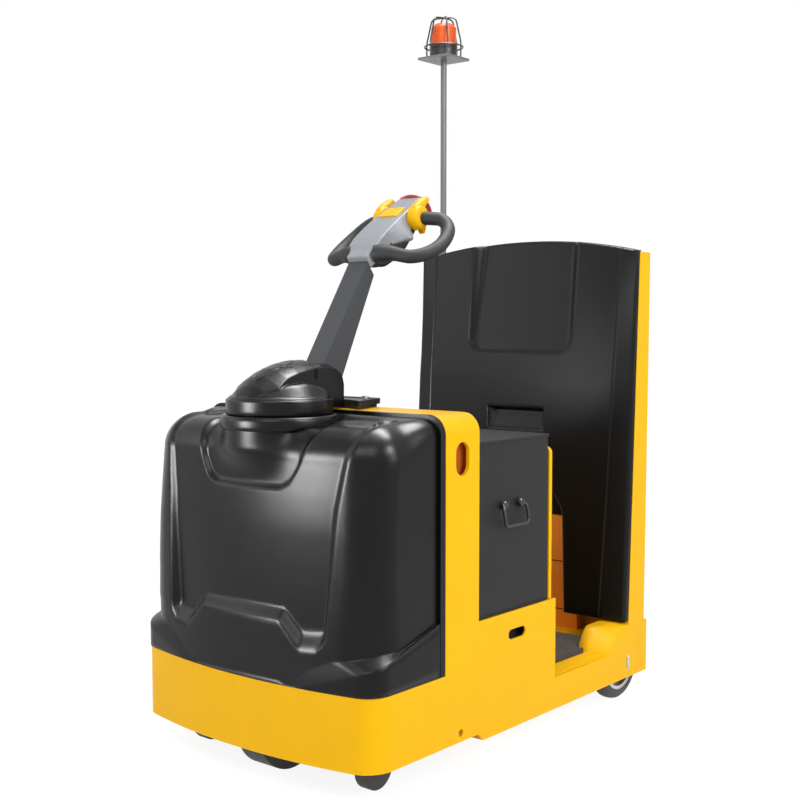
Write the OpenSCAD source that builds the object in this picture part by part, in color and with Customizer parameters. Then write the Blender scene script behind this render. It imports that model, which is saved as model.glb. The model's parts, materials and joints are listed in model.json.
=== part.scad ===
// Stand-on electric tow tractor with a tiller: an airport baggage tug.
// Millimetres. +Z up, the nose points along -Y, the origin is on the ground under the middle.

/* [Body] */
// Width over the side plates
body_w = 800; // [700:10:900]
// Length from the nose to the back of the beacon's foot plate
overall_l = 1346; // [1300:2:1500]
// Radius of the bowed nose in plan
nose_r = 1600; // [1200:50:2400]
// Radius of the nose's two corners in plan
corner_r = 75; // [60:5:120]
// Lower edge of the nose skirt
skirt_bottom_z = 87; // [80:1:110]
// Upper edge of the nose skirt
skirt_top_z = 262; // [240:2:280]
// Thickness of the steel plates
plate_t = 10; // [6:1:12]
// Lower edge of the side plates
side_bottom_z = 67; // [55:1:75]
// Upper edge of the side plates along the step-in sill
sill_z = 153; // [140:1:156]

/* [Hoop] */
// Distance from the nose to the hoop
nose_l = 290; // [270:2:310]
// Width of the hoop band
hoop_l = 151; // [130:1:160]
// Height of the hoop
hoop_top_z = 884; // [870:1:886]
// Outer corner radius of the hoop
hoop_r = 48; // [30:1:70]
// Width of the hand-holes
hand_hole_w = 53; // [40:1:60]
// Height of the hand-holes
hand_hole_h = 82; // [70:1:100]
// Height of the middle of the hand-holes
hand_hole_z = 777; // [700:1:790]
// Radius of the lashing holes low in the legs
lash_r = 9.5; // [7:0.5:12]
// Height of the lashing holes
lash_z = 109; // [105:1:130]

/* [Battery bay] */
// Share of the overall length that the battery bay takes, from the hoop to the bulkhead
bay_share = 0.2407; // [0.22:0.001:0.245]
// Thickness of the bulkhead
bulkhead_t = 24; // [12:1:30]
// Height of the bulkhead
bulkhead_top_z = 775; // [740:1:790]
// Lower edge of the access panels
panel_bottom_z = 191; // [185:1:200]
// Upper edge of the access panels
panel_top_z = 369; // [340:1:380]
// Thickness of the access panels
panel_t = 5; // [3:0.5:8]
// Length of the panels' finger slots
panel_slot_l = 77; // [60:1:90]
// Height of the panels' finger slots
panel_slot_h = 26; // [22:1:34]
// Height of the middle of the finger slots
panel_slot_z = 310; // [290:1:330]
// Height of the battery cover's top
cover_top_z = 809; // [790:1:820]
// Sheet thickness of the battery cover
cover_t = 4; // [3:0.5:6]
// Distance between a bail handle's two bosses
bail_span = 98; // [80:1:120]
// Height of a bail handle's bosses
bail_z = 650; // [600:1:680]
// Drop of a bail handle below its bosses
bail_drop = 64; // [50:1:80]

/* [Platform and rear] */
// Height of the top of the platform mat
mat_top_z = 180; // [176:1:184]
// Thickness of the platform mat
mat_t = 14; // [8:1:16]
// Distance from the mat's edge to the side of the body
mat_in = 48; // [46:1:70]
// Distance from the back of the side plates to the back of the beacon's foot plate
tail_l = 55; // [50:1:66]
// Height of the rear wall
rear_wall_z = 219; // [212:1:224]
// Height of the rear frame
frame_top_z = 1307; // [1250:1:1330]
// Height of the lower edge of the backrest
backrest_bottom_z = 245; // [243:1:260]
// Height of the backrest in the middle
backrest_top_z = 1355; // [1330:1:1360]
// Drop of the backrest's upper edge at its sides
backrest_crown = 46; // [30:1:60]
// Half width of the cut-out low in the backrest
cutout_half_w = 205; // [150:1:230]
// Height of the cut-out's upper edge
cutout_top_z = 580; // [520:1:620]

/* [Wheels] */
// Radius of the rear wheels
rear_wheel_r = 108; // [100:1:109]
// Width of the rear wheels
rear_wheel_w = 60; // [50:1:64]
// Radius of the rear rims
rear_rim_r = 79; // [70:1:85]
// Distance from the middle of a rear wheel to the side of the body
rear_wheel_in = 55; // [53:1:65]
// Distance from the rear axle to the back of the side plates
rear_axle_in = 110; // [110:1:121]
// Radius of the rear stub axles
rear_axle_r = 12; // [10:0.5:15]
// Radius of the drive wheel
drive_wheel_r = 115; // [105:1:118]
// Width of the drive wheel
drive_wheel_w = 80; // [70:1:90]
// Radius of the castor wheels
castor_r = 52; // [45:1:54]
// Width of the castor wheels
castor_w = 30; // [24:1:34]
// Distance from a castor's swivel axis to the side of the body
castor_in = 115; // [112:1:125]
// Distance a castor's wheel trails its swivel axis
castor_trail = 40; // [34:1:42]

/* [Turret and tiller] */
// Distance from the nose to the steering axis
steer_l = 156; // [152:1:160]
// Radius of the turret cover's ring
turret_r = 132; // [126:1:133]
// Height of the lower edge of the turret cover
turret_z = 890; // [890:1:894]
// Height of the turret cover's ring
turret_ring_h = 34; // [26:1:40]
// Height of the turret cover's crown
turret_top_z = 1008; // [1000:1:1016]
// Half width over the turret's cheeks
cheek_half_w = 48; // [46:1:52]
// Distance from the steering axis to the back of the cheeks
cheek_l = 186; // [180:1:188]
// Distance from the steering axis to the tilt axis
tilt_l = 132; // [128:1:136]
// Height of the tilt axis
tilt_z = 932; // [930:1:938]
// Half width of the tiller arm
arm_half_w = 32; // [28:1:34]
// Lean of the tiller arm from upright
arm_lean = 29; // [26:0.5:32]
// Length of the tiller arm from the tilt axis
arm_l = 372; // [350:1:380]
// Depth of the tiller arm at its foot
arm_foot_d = 80; // [70:1:84]
// Depth of the tiller arm at the head
arm_end_d = 38; // [34:1:44]
// Length of the tiller head
head_l = 274; // [250:1:290]
// Lean of the tiller head from upright
head_lean = 53; // [48:0.5:56]
// Half width of the tiller head
head_half_w = 44; // [40:1:48]
// Thickness of the tiller head
head_t = 46; // [40:1:50]
// Radius of a handle loop's bend
loop_r = 82; // [70:1:90]
// Radius of the handle's tube
loop_tube_r = 18; // [15:0.5:20]
// Distance from the middle to the middle of a loop's bend
loop_x = 148; // [140:1:156]

/* [Beacon] */
// Height of the beacon's foot plate
beacon_plate_z = 1968; // [1850:1:2000]
// Edge of the square foot plate
beacon_plate_w = 120; // [100:2:130]
// Radius of the pole
pole_r = 10; // [8:0.5:12]
// Distance from the pole to the side of the body
pole_in = 35; // [34:1:50]
// Height of the top of the cage above the foot plate
cage_h = 143; // [130:1:150]
// Radius of the cage
cage_r = 67; // [60:1:67]
// Radius of the cage's wires
wire_r = 3.5; // [2.5:0.5:4]

/* [Hidden] */
$fn = 48;
eps = 0.01;
half_w = body_w / 2;
nose_y = -overall_l / 2;
hoop_y0 = nose_y + nose_l;
hoop_y1 = hoop_y0 + hoop_l;
bay_l = overall_l * bay_share;
bay_y1 = hoop_y1 + bay_l;
bulkhead_y1 = bay_y1 + bulkhead_t;
rear_y = overall_l / 2 - tail_l;
axle_y = rear_y - rear_axle_in;
rear_wheel_x = half_w - rear_wheel_in;
castor_x = half_w - castor_in;
pole_x = half_w - pole_in;
mat_half_w = half_w - mat_in;
steer_y = nose_y + steer_l;
// Middle of the nose's arc, and of its two corner arcs
nose_c = nose_y + nose_r;
corner_x = half_w - corner_r;
corner_y = nose_c - sqrt(pow(nose_r - corner_r, 2) - pow(corner_x, 2));
inner_w = half_w - plate_t;
hand_hole_y = hoop_y0 + hoop_l * 0.55;
lash_y = hoop_y0 + hoop_l * 0.52;
// Play of a turning piece in its bore, and the gap between pieces that move past each other
play = 0.4;
gap = 6;

// Plates
deck_z = 240;
deck_t = 12;
pan_t = 10;
pan_top_z = side_bottom_z + pan_t;
step = skirt_bottom_z - side_bottom_z;
side_y0 = hoop_y1;
mat_bottom_z = mat_top_z - mat_t;
platform_t = 6;
sill_inner = mat_half_w + 3;

// Fender: a cone about the rear axle, cut off level under the backrest
fender_z = 113;
fender_r1 = rear_wheel_r + 57;
fender_r2 = rear_wall_z - fender_z;
fender_x0 = rear_wheel_x - 60;
fender_x1 = rear_wheel_x + 10;
fender_t = 5;
fender_top_z = 238;
lock_w = 14;
lock_h = 40;

cover_bottom_z = panel_top_z - 30;

// Rear frame
frame_y0_low = axle_y + 2;
frame_y0_high = axle_y + 47;
frame_y1_low = rear_y - 17;
frame_y1_high = rear_y - 4;
sheet_t = 6;
// Distance from the back sheet to the back of the frame's side plates
sheet_in = 16;
sheet_y_low = frame_y1_low - sheet_in;
sheet_y_high = frame_y1_high - sheet_in;
backrest_half_w = inner_w;
backrest_front_low = axle_y - 30;
backrest_front_high = axle_y + 24;
backrest_t = 8;
housing_top_z = 510;

// Turret and tiller
pivot_y = steer_y + tilt_l;
slot_half_w = arm_half_w + 4;
column_r = 40;
arm_back = 24;
head_base = arm_l - 4;
key_r = 9;
console_t = 22;
console_r = 200;

// Drive unit
ring_r = 118;
ring_lip = 4;
motor_r = 90;
motor_top_z = 560;
gearbox_t = 54;
hub_r = 25;
wheel_gap = 6;

// Castors
castor_y = hoop_y0 - 72;
castor_axle_r = 8;
fork_z = castor_r * 2 + 10;
fork_t = 6;
fork_plate_t = 8;
stem_r = 12;
castor_mount_z = fork_z + fork_plate_t + 3;

// Coupling
jaw_w = 100;
jaw_l = 50;
jaw_t = 14;
jaw_pitch = 54;
jaw_z = 78;
pin_r = 12;
pin_y = rear_y + 32;
jaw_back_t = 12;

// Beacon
pole_y = overall_l / 2 - beacon_plate_w / 2;
beacon_plate_t = 8;
pole_bottom_z = 960;
base_r = 43.5;
base_h = 42;
lens_r = 41;
lens_h = 66;

// Turns a profile drawn in (y, z) into a solid from x = x0 to x = x1
module along_x(x0, x1) {
    translate([x0, 0, 0])
        rotate([90, 0, 90])
            linear_extrude(x1 - x0)
                children();
}

// Turns a profile drawn in (x, z) into a solid from y = y0 to y = y1
module along_y(y0, y1) {
    translate([0, y1, 0])
        rotate([90, 0, 0])
            linear_extrude(y1 - y0)
                children();
}

// Draws its children on the left side and, mirrored, on the right
module both_sides() {
    children();
    mirror([1, 0, 0])
        children();
}

// A slot with round ends, long along the first axis
module slot_2d(l, h) {
    square([l - h, h], center = true);
    for (s = [-1, 1])
        translate([s * (l - h) / 2, 0])
            circle(h / 2);
}

// Outline of the body in plan, moved in by d
module plan_2d(d) {
    intersection() {
        translate([0, nose_c])
            circle(nose_r - d, $fn = 200);
        polygon([[0, nose_c], [-corner_x * 2, nose_c + (corner_y - nose_c) * 2],
            [corner_x * 2, nose_c + (corner_y - nose_c) * 2]]);
    }
    for (s = [-1, 1])
        translate([s * corner_x, corner_y])
            circle(corner_r - d);
    translate([d - half_w, corner_y])
        square([body_w - 2 * d, rear_y - corner_y]);
}

module below_y(y1) {
    intersection() {
        children();
        translate([-body_w, nose_y - 100])
            square([body_w * 2, y1 - nose_y + 100]);
    }
}

module front_skirt() {
    color("gold")
        translate([0, 0, skirt_bottom_z])
            linear_extrude(skirt_top_z - skirt_bottom_z)
                below_y(hoop_y0)
                    difference() {
                        plan_2d(0);
                        plan_2d(plate_t);
                    }
}

// Arch drawn in (x, z): two legs joined by a top with round corners
module arch_2d(w, top, r) {
    translate([-w, skirt_bottom_z])
        square([w * 2, top - r - skirt_bottom_z]);
    translate([r - w, skirt_bottom_z])
        square([(w - r) * 2, top - skirt_bottom_z]);
    for (s = [-1, 1])
        translate([s * (w - r), top - r])
            circle(r);
}

module hoop() {
    color("gold")
        difference() {
            along_y(hoop_y0, hoop_y1)
                difference() {
                    arch_2d(half_w, hoop_top_z, hoop_r);
                    translate([0, -eps])
                        arch_2d(inner_w, hoop_top_z - plate_t, hoop_r - plate_t);
                }
            along_x(-half_w - 1, half_w + 1)
                translate([hand_hole_y, hand_hole_z])
                    rotate(90)
                        slot_2d(hand_hole_h, hand_hole_w);
            along_x(-half_w - 1, half_w + 1)
                translate([lash_y, lash_z])
                    circle(lash_r);
        }
}

module side_plate_2d() {
    difference() {
        union() {
            polygon([[side_y0, skirt_bottom_z], [side_y0 + step, side_bottom_z], [rear_y, side_bottom_z],
                [rear_y, rear_wall_z], [axle_y, rear_wall_z], [axle_y, sill_z], [bulkhead_y1, sill_z],
                [bulkhead_y1, panel_bottom_z], [side_y0, panel_bottom_z]]);
            translate([axle_y, fender_z])
                circle(fender_r2);
        }
        translate([side_y0, 0])
            square([rear_y - side_y0 + 1, side_bottom_z]);
        translate([axle_y, rear_wheel_r])
            rotate(90)
                slot_2d(lock_h, lock_w);
    }
}

module side_plates() {
    color("gold")
        both_sides()
            along_x(inner_w, half_w)
                side_plate_2d();
}

module access_panels() {
    color("gold")
        both_sides()
            along_x(half_w - panel_t, half_w)
                difference() {
                    translate([side_y0, panel_bottom_z])
                        square([bulkhead_y1 - side_y0, panel_top_z - panel_bottom_z]);
                    translate([side_y0 + (bay_l + bulkhead_t) * 0.48, panel_slot_z])
                        slot_2d(panel_slot_l, panel_slot_h);
                }
}

module bulkhead() {
    color("gold")
        along_y(bay_y1, bulkhead_y1)
            intersection() {
                translate([panel_t - half_w + 1, pan_top_z])
                    square([(half_w - panel_t - 1) * 2, bulkhead_top_z - pan_top_z]);
                union() {
                    translate([-inner_w, pan_top_z])
                        square([inner_w * 2, panel_bottom_z - pan_top_z]);
                    translate([-half_w, panel_bottom_z])
                        square([body_w, bulkhead_top_z - hoop_r - panel_bottom_z]);
                    translate([hoop_r - half_w + panel_t + 1, panel_bottom_z])
                        square([(half_w - hoop_r - panel_t - 1) * 2, bulkhead_top_z - panel_bottom_z]);
                    for (s = [-1, 1])
                        translate([s * (half_w - panel_t - 1 - hoop_r), bulkhead_top_z - hoop_r])
                            circle(hoop_r);
                }
            }
}

module wheel_wells_2d() {
    both_sides()
        translate([fender_x0 + fender_t, axle_y - fender_r1])
            square([half_w, fender_r1 * 2]);
}

module floor_pan() {
    color("gold")
        translate([0, 0, side_bottom_z])
            linear_extrude(pan_t)
                difference() {
                    translate([-inner_w, side_y0 + step])
                        square([inner_w * 2, rear_y - plate_t - side_y0 - step]);
                    wheel_wells_2d();
                }
}

module drive_plate() {
    color("dimgray")
        translate([0, 0, deck_z])
            linear_extrude(deck_t)
                difference() {
                    below_y(hoop_y1)
                        plan_2d(plate_t);
                    translate([0, steer_y])
                        circle(ring_r + play);
                    for (s = [-1, 1])
                        translate([s * castor_x, castor_y])
                            circle(stem_r + play);
                }
}

// The fender's full form, moved in by d
module fender_form(d) {
    intersection() {
        translate([0, axle_y, fender_z])
            rotate([0, 90, 0]) {
                translate([0, 0, fender_x0 + d])
                    cylinder(r = fender_r1 - d, h = fender_x1 - fender_x0 - d);
                translate([0, 0, fender_x1 - eps])
                    cylinder(r1 = fender_r1 - d, r2 = fender_r2 - d, h = half_w - fender_x1);
            }
        translate([0, 0, pan_top_z])
            cube([inner_w, sheet_y_low - sheet_t, fender_top_z - d - pan_top_z]);
    }
}

module fenders() {
    color("gold")
        both_sides()
            difference() {
                fender_form(0);
                translate([0, 0, -eps])
                    fender_form(fender_t);
                translate([0, 0, -eps * 2])
                    intersection() {
                        fender_form(fender_t);
                        translate([0, 0, pan_top_z])
                            cube([body_w, overall_l, 40]);
                    }
            }
}

module platform() {
    color("gold")
        difference() {
            translate([-sill_inner, bulkhead_y1, mat_bottom_z - platform_t])
                cube([sill_inner * 2, rear_y - plate_t - bulkhead_y1, platform_t]);
            both_sides() {
                fender_form(0);
                translate([fender_x0, axle_y, 0])
                    cube([half_w, rear_y - axle_y, mat_top_z]);
            }
        }
}

module sills() {
    color("gold")
        both_sides()
            difference() {
                along_y(bulkhead_y1, axle_y)
                    polygon([[sill_inner, pan_top_z], [inner_w, pan_top_z], [inner_w, sill_z + 2],
                        [sill_inner, mat_bottom_z]]);
                fender_form(0);
            }
}

module platform_mat() {
    color("dimgray")
        translate([0, 0, mat_bottom_z])
            linear_extrude(mat_t)
                difference() {
                    translate([-mat_half_w, bulkhead_y1])
                        square([mat_half_w * 2, axle_y - 58 - bulkhead_y1]);
                    both_sides()
                        translate([fender_x0 - 4, axle_y - fender_r1 - 4])
                            square([half_w, fender_r1]);
                }
}

module rear_wall() {
    color("gold")
        difference() {
            translate([-inner_w, rear_y - plate_t, side_bottom_z])
                cube([inner_w * 2, plate_t, rear_wall_z - side_bottom_z]);
            both_sides()
                translate([fender_x0 + fender_t, rear_y - plate_t - 1, side_bottom_z - 1])
                    cube([inner_w - fender_x0 - fender_t - 4, plate_t + 2, rear_wheel_r * 1.5 - side_bottom_z]);
        }
}

module rear_frame() {
    color("gold") {
        both_sides()
            along_x(inner_w, half_w)
                polygon([[frame_y0_low, rear_wall_z], [frame_y1_low, rear_wall_z],
                    [frame_y1_high, frame_top_z], [frame_y0_high, frame_top_z]]);
        along_x(-inner_w, inner_w)
            polygon([[sheet_y_low - sheet_t, rear_wall_z], [sheet_y_low, rear_wall_z],
                [sheet_y_high, frame_top_z], [sheet_y_high - sheet_t, frame_top_z]]);
        translate([-inner_w, sheet_y_low - sheet_t, rear_wall_z])
            cube([inner_w * 2, rear_y - plate_t / 2 - sheet_y_low + sheet_t, sheet_t]);
    }
}

module rear_housing() {
    color("gold")
        translate([-cutout_half_w + 10, axle_y + 50, mat_bottom_z])
            cube([cutout_half_w * 2 - 20, sheet_y_low - sheet_t - axle_y - 50, housing_top_z - mat_bottom_z]);
}

// Backrest drawn in (y, z): leaning front, upright back
module backrest_2d(d) {
    polygon([[backrest_front_low + d, backrest_bottom_z], [sheet_y_low - sheet_t, backrest_bottom_z],
        [sheet_y_low - sheet_t, backrest_top_z], [backrest_front_high + d, backrest_top_z]]);
}

module backrest() {
    color("black")
        difference() {
            intersection() {
                along_x(-backrest_half_w, backrest_half_w)
                    backrest_2d(0);
                along_y(axle_y - 60, rear_y) {
                    translate([-backrest_half_w, 0])
                        square([backrest_half_w * 2, backrest_top_z - backrest_crown]);
                    intersection() {
                        translate([-backrest_half_w, 0])
                            square([backrest_half_w * 2, backrest_top_z]);
                        translate([0, backrest_top_z - 1650])
                            circle(1650, $fn = 200);
                    }
                }
            }
            translate([0, backrest_t, 0])
                along_x(-backrest_half_w + backrest_t, backrest_half_w - backrest_t)
                    intersection() {
                        backrest_2d(0);
                        translate([0, backrest_bottom_z + backrest_t])
                            square([rear_y, backrest_top_z - backrest_crown - backrest_bottom_z - backrest_t * 2]);
                    }
            translate([-cutout_half_w, 0, 0])
                cube([cutout_half_w * 2, rear_y, cutout_top_z]);
        }
}

// Points of the hood's outline in plan: half width w, nose at y = f, corner radius r, back at y = b
function hood_outline(w, f, r, b) =
    let (ns = 5, nc = 8, nf = 16, nb = 6, cx = w - r, ca = asin(cx / (nose_r - r)),
        cy = f + nose_r - (nose_r - r) * cos(ca))
    concat(
        [for (i = [0 : ns - 1]) [w, b + (cy - b) * i / ns]],
        [for (i = [0 : nc - 1]) let (a = (90 - ca) * i / nc) [cx + r * cos(a), cy - r * sin(a)]],
        [for (i = [0 : nf]) let (a = ca * (1 - 2 * i / nf)) [nose_r * sin(a), f + nose_r * (1 - cos(a))]],
        [for (i = [nc - 1 : -1 : 0]) let (a = (90 - ca) * i / nc) [-cx - r * cos(a), cy - r * sin(a)]],
        [for (i = [ns - 1 : -1 : 0]) [-w, b + (cy - b) * i / ns]],
        [for (i = [1 : nb - 1]) [-w + 2 * w * i / nb, b]]
    );

// Moves a point of the outline part way towards a circle about the steering axis
function to_circle(p, r, t) =
    let (q = [p[0], p[1] - steer_y], n = norm(q))
    [p[0] + (q[0] / n * r - p[0]) * t, p[1] + (steer_y + q[1] / n * r - p[1]) * t];

hood_bottom_z = skirt_top_z;
hood_top_z = hoop_top_z - 12;
hood_half_w = half_w - 2;
hood_front_y = nose_y + 2;
hood_flange_h = 40;
hood_step = 10;
hood_back_y = hoop_y0;
hood_hole_r = 70;
hood_t = 6;

// Levels of the hood: height, inset from the full outline, share of the way to the collar's circle
hood_levels = [[hood_bottom_z, 0, 0], [hood_bottom_z + hood_flange_h, 0, 0],
    [hood_bottom_z + hood_flange_h + 6, hood_step, 0], [hood_bottom_z + 250, hood_step + 4, 0],
    [hood_top_z - 80, hood_step + 10, 0], [hood_top_z - 48, hood_step + 17, 0],
    [hood_top_z - 22, hood_step + 32, 0], [hood_top_z - 6, hood_step + 56, 0],
    [hood_top_z, hood_step + 84, 0], [hood_top_z + 4, hood_step + 84, 0.6], [hood_top_z + 6, hood_step + 84, 1]];

function hood_ring(level, d) =
    [for (p = hood_outline(hood_half_w - level[1] - d, hood_front_y + level[1] + d, corner_r - d, hood_back_y - d))
        let (q = to_circle(p, hood_hole_r, level[2]))
        [q[0], q[1], level[0]]];

function flat_list(rows) = [for (row = rows) for (p = row) p];

module motor_hood() {
    outer = [for (l = hood_levels) hood_ring(l, 0)];
    inner = [for (l = hood_levels) [for (p = hood_ring(l, hood_t))
        [p[0], p[1], l[0] > hood_bottom_z ? l[0] - hood_t : l[0]]]];
    rings = concat(outer, [for (i = [len(inner) - 1 : -1 : 0]) inner[i]]);
    n = len(rings[0]);
    m = len(rings);
    color("black")
        polyhedron(flat_list(rings), flat_list([for (i = [0 : m - 1]) for (j = [0 : n - 1])
            let (a = i * n + j, b = i * n + (j + 1) % n, c = ((i + 1) % m) * n + (j + 1) % n, d = ((i + 1) % m) * n + j)
            [[a, c, b], [a, d, c]]]));
}

module console() {
    color("dimgray")
        translate([0, 0, hoop_top_z])
            linear_extrude(console_t)
                difference() {
                    polygon([[-125, hoop_y0 + 10], [125, hoop_y0 + 10], [73, hoop_y1 + 14], [-73, hoop_y1 + 14]]);
                    translate([0, steer_y])
                        circle(console_r, $fn = 96);
                }
}

module key_switch() {
    color("silver")
        translate([40, hoop_y1 - 12, hoop_top_z + console_t])
            cylinder(r = key_r, h = 6);
}

module battery() {
    color("dimgray")
        translate([20 - inner_w, side_y0 + step, pan_top_z])
            cube([(inner_w - 20) * 2, bay_l - step - 20, cover_top_z - 30 - pan_top_z]);
}

module battery_cover() {
    color("dimgray")
        difference() {
            translate([panel_t + 1 - half_w, side_y0, cover_bottom_z])
                cube([(half_w - panel_t - 1) * 2, bay_l - 10, cover_top_z - cover_bottom_z]);
            translate([panel_t + 1 + cover_t - half_w, side_y0 + cover_t, cover_bottom_z - 1])
                cube([(half_w - panel_t - 1 - cover_t) * 2, bay_l - 10 - cover_t * 2,
                    cover_top_z - cover_bottom_z - cover_t + 1]);
        }
}

module cover_handles() {
    wire = 3.5;
    x0 = half_w - panel_t - 1;
    yc = side_y0 + bay_l * 0.45;
    color("black")
        both_sides() {
            for (s = [-1, 1])
                translate([x0, yc + s * bail_span / 2, bail_z])
                    rotate([0, 90, 0])
                        cylinder(r = 10, h = 3);
            for (s = [-1, 1])
                translate([x0 + 3 - eps, yc + s * bail_span / 2, bail_z - bail_drop])
                    translate([0, -wire, 0])
                        cube([wire * 2, wire * 2, bail_drop]);
            translate([x0 + 3 - eps, yc - bail_span / 2 - wire, bail_z - bail_drop - wire * 2])
                cube([wire * 2, bail_span + wire * 2, wire * 2]);
        }
}

module rear_axles() {
    color("silver")
        both_sides() {
            translate([fender_x0 + fender_t, axle_y, rear_wheel_r])
                rotate([0, 90, 0])
                    cylinder(r = rear_axle_r, h = inner_w - fender_x0 - fender_t);
            along_x(inner_w - eps, half_w)
                translate([axle_y, rear_wheel_r])
                    rotate(90)
                        slot_2d(lock_h - play * 2, lock_w - play * 2);
        }
}

module tow_coupling() {
    color("dimgray")
        difference() {
            union() {
                translate([-jaw_w / 2, rear_y, jaw_z])
                    cube([jaw_w, jaw_back_t, jaw_pitch * 2 + jaw_t]);
                for (i = [0 : 2])
                    translate([-jaw_w / 2, rear_y + jaw_back_t - eps, jaw_z + i * jaw_pitch])
                        cube([jaw_w, jaw_l - jaw_back_t, jaw_t]);
            }
            translate([0, pin_y, jaw_z - 1])
                cylinder(r = pin_r + play, h = jaw_pitch * 3);
        }
}

module coupling_pin() {
    top = jaw_z + jaw_pitch * 2 + jaw_t;
    color("silver") {
        translate([0, pin_y, jaw_z])
            cylinder(r = pin_r, h = top - jaw_z + 6);
        translate([0, pin_y, top + 0.2])
            cylinder(r = pin_r + 6, h = 8);
        translate([0, pin_y, top + 8])
            cylinder(r = 6, h = 30);
        translate([0, pin_y, top + 38])
            sphere(14);
    }
}

module castor_mounts() {
    color("dimgray")
        both_sides()
            translate([castor_x, castor_y, castor_mount_z])
                difference() {
                    union() {
                        cylinder(r = 34, h = deck_z - castor_mount_z);
                        translate([0, 0, deck_z - castor_mount_z - 10])
                            cylinder(r = 55, h = 10);
                    }
                    translate([0, 0, -1])
                        cylinder(r = stem_r + play, h = deck_z);
                }
}

module beacon_pole() {
    color("dimgray") {
        translate([-pole_x, pole_y, pole_bottom_z])
            cylinder(r = pole_r, h = beacon_plate_z - beacon_plate_t - pole_bottom_z);
        for (z = [pole_bottom_z + 30, frame_top_z - 60])
            difference() {
                translate([-pole_x - 14, sheet_y_low, z])
                    cube([28, pole_y - sheet_y_low, 24]);
                along_x(-half_w, half_w)
                    polygon([[sheet_y_low - 50, rear_wall_z], [sheet_y_low, rear_wall_z],
                        [sheet_y_high, frame_top_z], [sheet_y_low - 50, frame_top_z]]);
            }
        translate([-pole_x - beacon_plate_w / 2, pole_y - beacon_plate_w / 2, beacon_plate_z - beacon_plate_t])
            cube([beacon_plate_w, beacon_plate_w, beacon_plate_t]);
    }
}

module beacon_base() {
    color("black")
        translate([-pole_x, pole_y, beacon_plate_z])
            cylinder(r = base_r, h = base_h);
}

module beacon_lens() {
    color("orange")
        translate([-pole_x, pole_y, beacon_plate_z + base_h]) {
            cylinder(r = lens_r, h = lens_h - 12);
            translate([0, 0, lens_h - 12 - eps])
                cylinder(r1 = lens_r, r2 = lens_r - 12, h = 12);
        }
}

module beacon_cage() {
    color("black")
        translate([-pole_x, pole_y, beacon_plate_z]) {
            for (a = [0 : 60 : 300])
                rotate(a) {
                    translate([cage_r - wire_r * 3, 0, 0])
                        cylinder(r = wire_r, h = cage_h - 30 + eps);
                    translate([cage_r - wire_r * 3 - 24, 0, cage_h - 30])
                        rotate([90, 0, 0])
                            rotate_extrude(angle = 90)
                                translate([24, 0])
                                    circle(wire_r, $fn = 16);
                    translate([0, 0, cage_h - 6])
                        rotate([0, 90, 0])
                            cylinder(r = wire_r, h = cage_r - wire_r * 3 - 24 + eps);
                }
            translate([0, 0, base_h])
                rotate_extrude()
                    translate([cage_r - wire_r * 3, 0])
                        circle(wire_r, $fn = 16);
        }
}

module drive_unit() {
    bottom = drive_wheel_r - 60;
    color("dimgray")
        translate([0, steer_y, 0]) {
            translate([0, 0, drive_wheel_r * 2 + gap])
                cylinder(r = ring_r, h = deck_z + deck_t + 1 - drive_wheel_r * 2 - gap);
            translate([0, 0, deck_z + deck_t + 1 - eps])
                cylinder(r = ring_r + ring_lip, h = 16);
            translate([drive_wheel_w / 2 + wheel_gap, -70, bottom])
                cube([gearbox_t, 140, drive_wheel_r * 2 + gap + eps - bottom]);
            translate([2 - drive_wheel_w / 2, 0, drive_wheel_r])
                rotate([0, 90, 0])
                    cylinder(r = hub_r, h = drive_wheel_w + wheel_gap - 2 + eps);
        }
}

module drive_motor() {
    z0 = deck_z + deck_t + 17;
    color("dimgray")
        translate([0, steer_y, 0]) {
            translate([0, 0, z0])
                cylinder(r = motor_r, h = motor_top_z - z0);
            translate([0, 0, motor_top_z - eps])
                cylinder(r = column_r, h = turret_z - motor_top_z + eps);
        }
}

module drive_tyre() {
    color("dimgray")
        translate([-drive_wheel_w / 2, steer_y, drive_wheel_r])
            rotate([0, 90, 0])
                difference() {
                    cylinder(r = drive_wheel_r, h = drive_wheel_w, $fn = 96);
                    translate([0, 0, -1])
                        cylinder(r = drive_wheel_r - 30, h = drive_wheel_w + 2);
                }
}

module drive_hub() {
    color("silver")
        translate([-drive_wheel_w / 2, steer_y, drive_wheel_r])
            rotate([0, 90, 0])
                difference() {
                    cylinder(r = drive_wheel_r - 30, h = drive_wheel_w);
                    translate([0, 0, -1])
                        cylinder(r = hub_r + play, h = drive_wheel_w + 2);
                }
}

module turret_cover() {
    ring_top = turret_z + turret_ring_h;
    color("black")
        difference() {
            translate([0, steer_y, 0]) {
                translate([0, 0, turret_z])
                    cylinder(r = turret_r, h = turret_ring_h);
                hull() {
                    translate([0, 0, ring_top - 1])
                        cylinder(r = turret_r - 8, h = 1);
                    translate([0, 12, ring_top + 40])
                        cylinder(r = turret_r - 28, h = 1);
                    translate([0, 40, turret_top_z - 20])
                        cylinder(r = turret_r - 60, h = 1);
                    translate([0, 62, turret_top_z - 1])
                        cylinder(r = turret_r - 90, h = 1);
                }
                along_x(-cheek_half_w, cheek_half_w) {
                    translate([0, turret_z])
                        square([cheek_l, 66]);
                    translate([0, turret_z])
                        square([cheek_l - 30, 96]);
                    translate([cheek_l - 30, turret_z + 66])
                        circle(30);
                }
            }
            along_x(-slot_half_w, slot_half_w)
                polygon([[pivot_y - 58, turret_z + 2], [pivot_y + 90, turret_z + 2],
                    [pivot_y + 90, turret_top_z + 20], [pivot_y - 20, turret_top_z + 20]]);
        }
}

// Places its children with the arm's foot at the origin of (y, z), the arm along the second axis
module tiller_frame() {
    translate([0, pivot_y, tilt_z])
        rotate([-arm_lean, 0, 0])
            children();
}

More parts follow.
